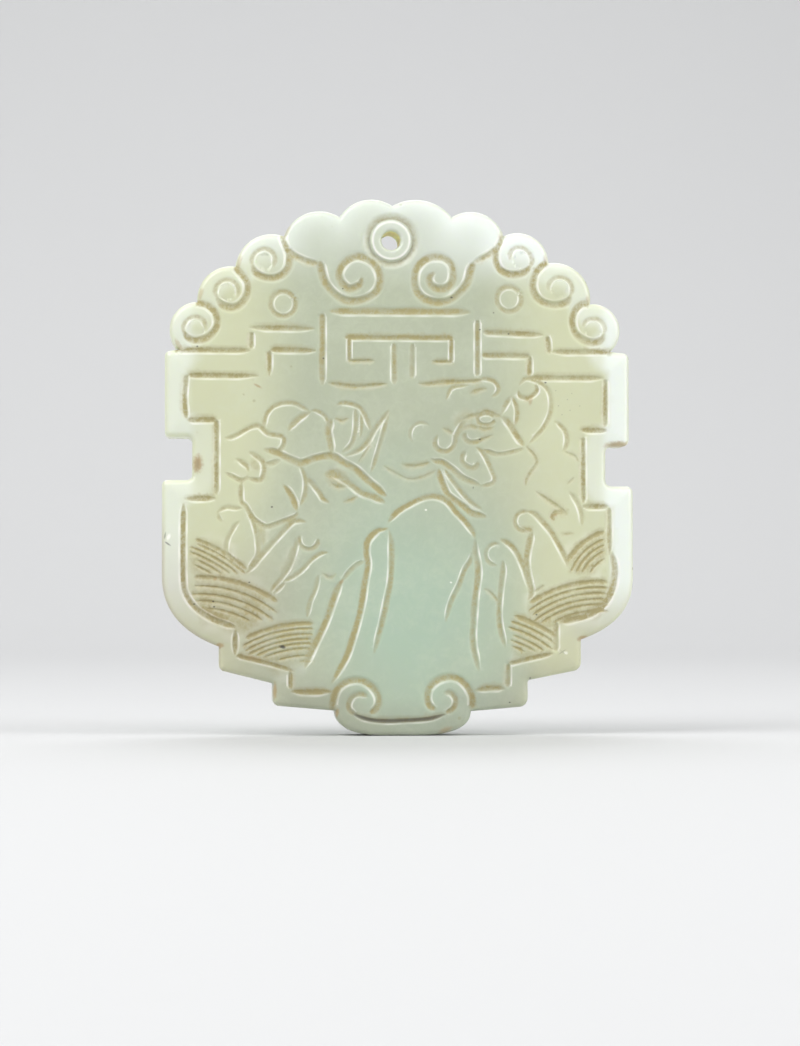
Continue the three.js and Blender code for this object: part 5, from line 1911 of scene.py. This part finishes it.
@cache
def clouded_jade() -> bpy.types.NodeTree:
    """The colour of the stone itself: three tones in soft clouds, pale drifts and fine milky fibres."""
    graph, given, out = node_group(
        "clouded jade",
        {"Deep": (0.49, 0.53, 0.4), "Cool": (0.47, 0.58, 0.45), "Warm": (0.64, 0.67, 0.45),
         "Milk": (0.8, 0.84, 0.74), "Milkiness": 0.5},
        {"Colour": "NodeSocketColor"},
    )
    place = graph.place()
    split = graph.add("ShaderNodeSeparateXYZ")
    graph.feed(split.inputs[0], place)
    across, up = split.outputs[0], split.outputs[2]
    drift = graph.math("SUBTRACT", graph.noise(place, 42, 2, 0.45, 0.6), 0.5)
    cloud = graph.noise(place, 130, 4, 0.55, 0.4)
    fibre = graph.noise(place, 900, 4, 0.72, 0.8)
    aside = graph.math("ABSOLUTE", graph.math("ADD", across, 0.0009))
    outward = graph.ramp(graph.math("MULTIPLY_ADD", drift, 0.012, aside), 0.009, 0.019)
    tone = graph.mix(outward, given["Deep"], given["Warm"])
    wide = graph.math("MULTIPLY", graph.math("SUBTRACT", across, 0.0022), 1.4)
    high = graph.math("SUBTRACT", up, 0.0135)
    away = graph.math("SQRT", graph.math("ADD", graph.math("MULTIPLY", wide, wide),
                                         graph.math("MULTIPLY", high, high)))
    rock = graph.ramp(graph.math("MULTIPLY_ADD", drift, 0.016, away), 0.0205, 0.002)
    tone = graph.mix(rock, tone, given["Cool"])
    milk = graph.math("ADD", graph.math("MULTIPLY", cloud, 0.5), graph.math("MULTIPLY", fibre, 0.5))
    share = graph.math("MULTIPLY", graph.ramp(milk, 0.42, 0.7), given["Milkiness"])
    graph.feed(out["Colour"], graph.mix(share, tone, given["Milk"]))
    return graph.tree


@cache
def earth_stain() -> bpy.types.NodeTree:
    """Earth that has stayed in cuts and pits, patchy and grainy."""
    graph, given, out = node_group(
        "earth stain",
        {"Base": (0.6, 0.65, 0.5), "Earth": (0.35, 0.27, 0.13), "Amount": 0.5},
        {"Colour": "NodeSocketColor", "Mask": "NodeSocketFloat"},
    )
    place = graph.place()
    patch = graph.ramp(graph.noise(place, 260, 3, 0.6, 0.3), 0.3, 0.7)
    grain = graph.ramp(graph.noise(place, 2300, 3, 0.7), 0.36, 0.66)
    uneven = graph.math("MULTIPLY_ADD", patch, 0.66, 0.56)
    speckled = graph.math("MULTIPLY_ADD", grain, 0.6, 0.68)
    mask = graph.math("MULTIPLY", graph.math("MULTIPLY", graph.carried("stain"), uneven), speckled)
    mask = graph.math("MULTIPLY", mask, given["Amount"], clamp=True)
    graph.feed(out["Colour"], graph.mix(mask, given["Base"], given["Earth"]))
    graph.feed(out["Mask"], mask)
    return graph.tree


@cache
def wheel_marks() -> bpy.types.NodeTree:
    """The height of the polish: soft unevenness, fine drag lines of the wheel and a few pin pits."""
    graph, given, out = node_group(
        "wheel marks", {"Drag": 0.4, "Pits": 0.5}, {"Height": "NodeSocketFloat", "Pit": "NodeSocketFloat"})
    place = graph.place()
    soft = graph.noise(place, 340, 2, 0.5)
    stretched = graph.add("ShaderNodeMapping")
    stretched.inputs["Scale"].default_value = (3.0, 3.0, 0.35)
    stretched.inputs["Rotation"].default_value = (0, 0.5, 0)
    graph.feed(stretched.inputs["Vector"], place)
    drag = graph.noise(stretched.outputs[0], 900, 3, 0.6)
    cell = graph.add("ShaderNodeTexVoronoi")
    cell.inputs["Scale"].default_value = 420
    graph.feed(cell.inputs["Vector"], place)
    chance = graph.math("GREATER_THAN", graph.noise(place, 260, 1), 0.6)
    pit = graph.math("MULTIPLY", graph.ramp(cell.outputs["Distance"], 0.13, 0.05), chance)
    pit = graph.math("MULTIPLY", pit, given["Pits"])
    height = graph.math("MULTIPLY_ADD", graph.math("MULTIPLY", drag, given["Drag"]), 0.4, soft)
    graph.feed(out["Height"], graph.math("SUBTRACT", height, pit))
    graph.feed(out["Pit"], pit)
    return graph.tree


@dataclass(frozen=True)
class Mark:
    """A spot, pit or seam in the stone of the front, a soft oval: mostly natural marks, with a painted glint
    and painted shadow at a chip and painted shade under the right notch.

    Attributes:
        x: its middle across.
        z: its middle up.
        long: its length.
        wide: its width.
        turn: how far its length is turned from level, in degrees.
        strength: how far it hides the stone.
    """

    x: float
    z: float
    long: float = 0.26
    wide: float = 0.2
    turn: float = 0.0
    strength: float = 0.8


class MarkKind(Enum):
    """What the marks are: iron specks with a chip's painted shadow, rusty stains with painted shade under a
    notch, and chalky spots with a chip's painted glint.
    """

    IRON = "Iron"
    RUST = "Rust"
    CHALK = "Chalk"


MARKS = {
    MarkKind.IRON: (
        (-22.5, 43.35), (-8.45, 42.1), (9.05, 45.4), (12.3, 44.95), (16.45, 39.5),
        (9.05, 33.1), (-14.2, 25.5), (-16.7, 17.1), (-20.7, 15.0), (-20.6, 14.4),
        (-22.8, 14.7), (8.3, 27.7, 0.3, 0.16, 80, 0.5), (15.4, 13.5), (14.7, 6.4),
        (12.4, 3.7), (-12.98, 9.93, 0.75, 0.4, -12, 0.95), (18.3, 9.35, 1.2, 0.13, 35, 0.3),
        (18.35, 9.3, 1.0, 0.12, -40, 0.25), (-22.5, 30.2, 1.7, 0.5, 86, 0.14),
        # These two dark marks at the chip on the left edge are its painted shadow.
        (-25.75, 21.4, 0.9, 0.2, -35, 0.6),
        (-26.05, 22.3, 0.9, 0.2, 80, 0.5),
        (-6.3, 49.9, 0.2, 0.2), (5.9, 49.0, 0.3, 0.2), (10.6, 47.3, 0.2, 0.2, 0, 0.5),
        *((x, z, 0.16, 0.12, 30, 0.35) for x, z in (
            (17.6, 38.6), (18.9, 37.6), (17.9, 36.9), (19.4, 38.3), (20.3, 36.9), (18.3, 35.9), (19.2, 36.4))),
    ),
    MarkKind.RUST: (
        (-15.75, 38.95, 1.1, 0.3, -28, 0.6), (-20.0, 10.05, 1.1, 0.7, 20, 0.75),
        (20.6, 10.85, 1.3, 0.6, 15, 0.75), (-22.45, 30.3, 2.1, 1.2, 88, 0.8),
        # (24.7, 32.5) stands for the underside of the right notch: its yellow-brown tint and painted shade. The
        # marks from (-17.8, 53.0) to (-24.6, 43.6) tint the crest's clefts brownish.
        (24.7, 32.5, 3.0, 1.0, 0, 0.7), (-17.8, 53.0, 1.6, 0.5, 75, 0.35),
        (-22.1, 49.2, 1.5, 0.5, 75, 0.4), (-12.4, 56.5, 1.8, 0.5, 70, 0.3), (11.4, 56, 1.2, 0.5, 75, 0.25),
        (16.5, 53.4, 1.1, 0.5, -75, 0.3), (21.3, 48.9, 1.1, 0.5, -75, 0.3), (-24.6, 43.6, 1.5, 0.5, -60, 0.4),
        (-6.4, 17.2, 0.7, 0.4, 60, 0.5), (-20.5, 17.5, 0.6, 0.35, 40, 0.5),
        (14.8, 37.5, 1.3, 0.4, 75, 0.45), (17.4, 24.6, 0.8, 0.4, 20, 0.35),
        (5.2, 0.65, 1.6, 0.7, 20, 0.5), (-16.2, 8.7, 1.8, 0.5, -12, 0.35),
        (-13.85, 5.0, 2.0, 0.5, 88, 0.7), (-6.95, 2.5, 1.3, 0.5, 75, 0.7),
    ),
    # (-25.65, 22.15) is a painted glint on the chip at the left edge.
    MarkKind.CHALK: ((3.0, 25.2, 0.3, 0.25), (5.8, 17.1, 0.3, 0.25), (-25.65, 22.15, 0.8, 0.45, 70, 0.9),
                     (18.7, 9.2, 0.5, 0.4, 0, 0.6)),
}


@cache
def found_marks() -> bpy.types.NodeTree:
    """Masks of the marks on the front: iron specks, rusty stains and chalky spots, with the painted glint and
    shadow of a chip and the painted shade under the right notch.
    """
    graph, _, out = node_group("found marks", {}, {kind.value: "NodeSocketFloat" for kind in MarkKind})
    place = graph.place()
    split = graph.add("ShaderNodeSeparateXYZ")
    graph.feed(split.inputs[0], place)
    front = graph.math("LESS_THAN", split.outputs[1], 0)
    ragged = graph.math("MULTIPLY", graph.noise(place, 3200, 2), 0.8)
    for kind, marks in MARKS.items():
        mask = None
        for mark in (Mark(*row) for row in marks):
            oval = graph.add("ShaderNodeMapping", vector_type="TEXTURE")
            oval.inputs["Location"].default_value = (mark.x * MM, 0, mark.z * MM)
            oval.inputs["Rotation"].default_value = (0, -math.radians(mark.turn), 0)
            oval.inputs["Scale"].default_value = (mark.long / 2 * MM, 1, mark.wide / 2 * MM)
            graph.feed(oval.inputs["Vector"], place)
            length = graph.add("ShaderNodeVectorMath", operation="LENGTH")
            graph.feed(length.inputs[0], oval.outputs[0])
            away = graph.math("ADD", length.outputs["Value"], ragged)
            spot = graph.ramp(away, 1.7, 0.8, (0, mark.strength))
            mask = graph.math("MAXIMUM", mask, spot) if mask else spot
        graph.feed(out[kind.value], graph.math("MULTIPLY", mask, front))
    return graph.tree


@dataclass(frozen=True)
class JadeFinish:
    """How one kind of surface of the stone is finished."""

    name: str
    deep: Colour
    cool: Colour
    warm: Colour
    milk: Colour
    earth: Colour
    milkiness: float
    staining: float
    roughness: float
    drag: float
    pits: float
    relief: float
    # Colour and strength of the painted glow and sheen that the pale mask mixes in toward the border and the
    # crest.
    thin: Colour
    paling: float
    # Colour and strength of the painted highlight on the rims of the cuts; chalky spots and the chip's painted
    # glint take the same colour.
    painted_highlight: Colour
    highlight_gain: float
    glow: float = 0.55
    glow_depth: float = 1.1
    # Tints of the rusty and iron marks, also used for the painted shade under the right notch and the chip's
    # painted shadow.
    rust: Colour = (0.43, 0.3, 0.14)
    iron: Colour = (0.07, 0.065, 0.05)
    # Colour that the painted shade multiplies in.
    painted_shade: Colour = (0.72, 0.645, 0.665)
    # Colour of the darkened groove along the foot.
    darkening: Colour = (0.09, 0.085, 0.075)

    def material(self) -> bpy.types.Material:
        """Build the material.

        Returns:
            The material, with its nodes joined.
        """
        material = bpy.data.materials.new(self.name)
        material.use_nodes = True
        graph = Graph(material.node_tree)
        graph.tree.nodes.clear()
        stone = self._group(graph, clouded_jade(), {
            "Deep": self.deep, "Cool": self.cool, "Warm": self.warm, "Milk": self.milk,
            "Milkiness": self.milkiness})
        # Painted glow and sheen toward the border and the crest.
        pale = graph.math("MULTIPLY", graph.carried("pale"), self.paling)
        paled = graph.mix(pale, stone.outputs["Colour"], self.thin)
        earth = self._group(graph, earth_stain(), {"Base": paled, "Earth": self.earth, "Amount": self.staining})
        marks = self._group(graph, wheel_marks(), {"Drag": self.drag, "Pits": self.pits})
        speck = graph.math("MULTIPLY", marks.outputs["Pit"], 0.5)
        colour = graph.mix(speck, earth.outputs["Colour"], self.earth)
        # Painted highlight along the rims of the cuts.
        highlight_strength = graph.math("MULTIPLY", graph.carried("painted_highlight"), self.highlight_gain)
        colour = graph.mix(highlight_strength, colour, self.painted_highlight)
        # Painted shade low down, on the left rim and in the lower corners.
        colour = graph.mix(graph.carried("painted_shade"), colour, self.painted_shade, "MULTIPLY")
        # Darker along the line at the foot.
        colour = graph.mix(graph.carried("darkening"), colour, self.darkening)
        natural = self._group(graph, found_marks(), {})
        # Rust, chalk and iron marks, among them the chip's painted glint and shadow and the painted shade under
        # the right notch.
        for kind, tint in ((MarkKind.RUST, self.rust), (MarkKind.CHALK, self.painted_highlight), (MarkKind.IRON, self.iron)):
            colour = graph.mix(natural.outputs[kind.value], colour, tint)
        bump = graph.add("ShaderNodeBump")
        bump.inputs["Strength"].default_value = 1
        bump.inputs["Distance"].default_value = self.relief * MM
        graph.feed(bump.inputs["Height"], marks.outputs["Height"])
        shader = graph.add("ShaderNodeBsdfPrincipled", subsurface_method="RANDOM_WALK")
        graph.feed(shader.inputs["Base Color"], colour)
        rough = graph.math("MULTIPLY_ADD", earth.outputs["Mask"], 0.35, self.roughness)
        rough = graph.math("ADD", rough, graph.math("MULTIPLY", marks.outputs["Height"], 0.06))
        graph.feed(shader.inputs["Roughness"], rough)
        graph.feed(shader.inputs["Normal"], bump.outputs[0])
        for name, value in (
                ("IOR", 1.61), ("Subsurface Weight", self.glow), ("Subsurface Radius", (1.0, 1.1, 0.75)),
                ("Subsurface Scale", self.glow_depth * MM)):
            shader.inputs[name].default_value = value
        graph.feed(graph.add("ShaderNodeOutputMaterial").inputs[0], shader.outputs[0])
        return material

    @staticmethod
    def _group(graph: Graph, tree: bpy.types.NodeTree, values: dict[str, object]) -> Node:
        """Place a node group and give it this finish's values.

        Args:
            graph: the material's nodes.
            tree: the group.
            values: values of its inputs.

        Returns:
            The node.
        """
        node = graph.add("ShaderNodeGroup", node_tree=tree)
        for name, value in values.items():
            graph.feed(node.inputs[name], value)
        return node


POLISHED = JadeFinish(
    name="polished nephrite", deep=(0.485, 0.525, 0.395), cool=(0.455, 0.575, 0.455), warm=(0.64, 0.66, 0.455),
    milk=(0.66, 0.71, 0.56), earth=(0.435, 0.39, 0.19), milkiness=0.3, staining=1.15, roughness=0.26,
    drag=0.4, pits=0.5, relief=0.012, thin=(0.85, 0.9, 0.855), paling=1.0, painted_highlight=(0.97, 0.97, 0.9), highlight_gain=0.95,
)
GROUND = JadeFinish(
    name="ground edge", deep=(0.62, 0.67, 0.52), cool=(0.64, 0.71, 0.58), warm=(0.72, 0.74, 0.56),
    milk=(0.82, 0.86, 0.75), earth=(0.4, 0.29, 0.13), milkiness=0.5, staining=0.9, roughness=0.34,
    drag=1.0, pits=0.7, relief=0.025, thin=(0.8, 0.84, 0.72), paling=0.3, painted_highlight=(0.9, 0.9, 0.8), highlight_gain=0.0,
)
# The bore's yellowish drilled surface; its very light colour is partly painted light that lifts the shaded wall
# of the bore.
DRILLED = JadeFinish(
    name="drilled bore", deep=(0.94, 0.89, 0.6), cool=(0.94, 0.89, 0.6), warm=(0.94, 0.88, 0.58),
    milk=(0.9, 0.88, 0.66), earth=(0.5, 0.38, 0.18), milkiness=0.3, staining=1.0, roughness=0.5,
    drag=1.6, pits=1.0, relief=0.04, thin=(0.9, 0.88, 0.66), paling=0.0, painted_highlight=(0.9, 0.9, 0.8), highlight_gain=0.0,
    glow=1.0, glow_depth=2.0,
)
# The reverse is a lighter copy of the polished front; part of that lift is painted light standing in for lamp
# light on that side.
REVERSE = replace(
    POLISHED, name="polished reverse", deep=(0.56, 0.66, 0.535), cool=(0.56, 0.685, 0.56),
    warm=(0.63, 0.71, 0.55), milk=(0.78, 0.84, 0.74), milkiness=0.45, staining=0.75, thin=(0.89, 0.94, 0.88),
)


@dataclass
class StudioSweep:
    """A pale floor that curves up into a pale backdrop."""

    half: float = 0.9
    front: float = -0.7
    back: float = 0.7
    bend: float = 0.3
    height: float = 1.1
    colour: Colour = (0.62, 0.625, 0.63)

    def build(self) -> bpy.types.Object:
        """Make the sweep.

        Returns:
            The floor object.
        """
        angles = np.linspace(0, math.pi / 2, 17)
        section = [(self.front, 0.0)]
        section += [(self.back - self.bend + self.bend * math.sin(a), self.bend * (1 - math.cos(a)))
                    for a in angles.tolist()]
        section.append((self.back, self.height))
        corners = [(x, y, z) for y, z in section for x in (-self.half, self.half)]
        faces = [(2 * i, 2 * i + 1, 2 * i + 3, 2 * i + 2) for i in range(len(section) - 1)]
        mesh = bpy.data.meshes.new("studio_sweep")
        mesh.from_pydata(corners, [], faces)
        mesh.polygons.foreach_set("use_smooth", [True] * len(faces))
        material = bpy.data.materials.new("pale paper")
        material.use_nodes = True
        shader = material.node_tree.nodes["Principled BSDF"]
        shader.inputs["Base Color"].default_value = (*self.colour, 1)
        shader.inputs["Roughness"].default_value = 0.7
        mesh.materials.append(material)
        sweep = bpy.data.objects.new("studio_sweep", mesh)
        bpy.context.scene.collection.objects.link(sweep)
        return sweep


@dataclass(frozen=True)
class Softbox:
    """A soft rectangular lamp that looks at the plaque."""

    name: str
    azimuth: float
    elevation: float
    distance: float
    width: float
    height: float
    power: float
    colour: Colour = (1.0, 1.0, 1.0)

    def build(self) -> bpy.types.Object:
        """Hang the lamp.

        Returns:
            The lamp.
        """
        light = bpy.data.lights.new(self.name, "AREA")
        light.shape = "RECTANGLE"
        light.size, light.size_y = self.width, self.height
        light.energy = self.power
        light.color = self.colour
        lamp = bpy.data.objects.new(self.name, light)
        turn, rise = math.radians(self.azimuth), math.radians(self.elevation)
        target = Vector((0, 0, 0.03))
        place = target + self.distance * Vector((
            math.sin(turn) * math.cos(rise), -math.cos(turn) * math.cos(rise), math.sin(rise)))
        lamp.location = place
        lamp.rotation_euler = (target - place).to_track_quat("-Z", "Y").to_euler()
        bpy.context.scene.collection.objects.link(lamp)
        return lamp


SOFTBOXES = (
    Softbox("key_softbox", azimuth=-58, elevation=44, distance=0.6, width=0.35, height=0.5, power=2.4),
    Softbox("right_softbox", azimuth=62, elevation=26, distance=0.6, width=0.3, height=0.6, power=1.95),
    Softbox("front_fill", azimuth=-10, elevation=55, distance=0.9, width=0.7, height=0.4, power=1.3),
    Softbox("back_fill", azimuth=180, elevation=55, distance=0.9, width=0.8, height=0.5, power=3.6),
)


@dataclass
class Studio:
    """Lamps and the light that the room gives from all sides."""

    room: float = 0.36

    def build(self) -> None:
        """Hang the lamps and light the room."""
        for softbox in SOFTBOXES:
            softbox.build()
            LOG.info("lamp %s", softbox.name)
        world = bpy.data.worlds.new("studio room")
        world.use_nodes = True
        background = world.node_tree.nodes["Background"]
        background.inputs["Color"].default_value = (1, 1, 1, 1)
        background.inputs["Strength"].default_value = self.room
        bpy.context.scene.world = world
        bpy.context.scene.view_settings.view_transform = "Standard"


@dataclass
class PhotographView:
    """The camera, low on the table and a little to the left, as in the photograph."""

    azimuth: float = -4.0
    distance: float = 0.34
    height: float = 0.016
    aim_x: float = 0.0003
    aim_z: float = 0.0238
    view_height: float = 0.1177
    film: float = 36.0

    def build(self) -> bpy.types.Object:
        """Set the camera up.

        Returns:
            The camera.
        """
        camera = bpy.data.cameras.new("photograph_view")
        camera.sensor_width = self.film
        camera.lens = self.film * self.distance / self.view_height
        camera.clip_start = 0.01
        body = bpy.data.objects.new("photograph_view", camera)
        target = Vector((self.aim_x, 0, self.aim_z))
        turn = math.radians(self.azimuth)
        place = Vector((
            self.aim_x + self.distance * math.sin(turn), -self.distance * math.cos(turn), self.height))
        body.location = place
        body.rotation_euler = (target - place).to_track_quat("-Z", "Y").to_euler()
        bpy.context.scene.collection.objects.link(body)
        bpy.context.scene.camera = body
        return body


def main() -> None:
    """Set up the view and the studio, cut the plaque and report each piece."""
    logging.basicConfig(level=logging.INFO, format="%(name)s: %(message)s")
    PhotographView().build()
    Studio().build()
    sweep = StudioSweep().build()
    LOG.info("stage %s", sweep.name)
    stone = Plaque().build()
    LOG.info("piece %s: %d triangles", stone.name, len(stone.data.polygons))


if __name__ == "__main__":
    main()
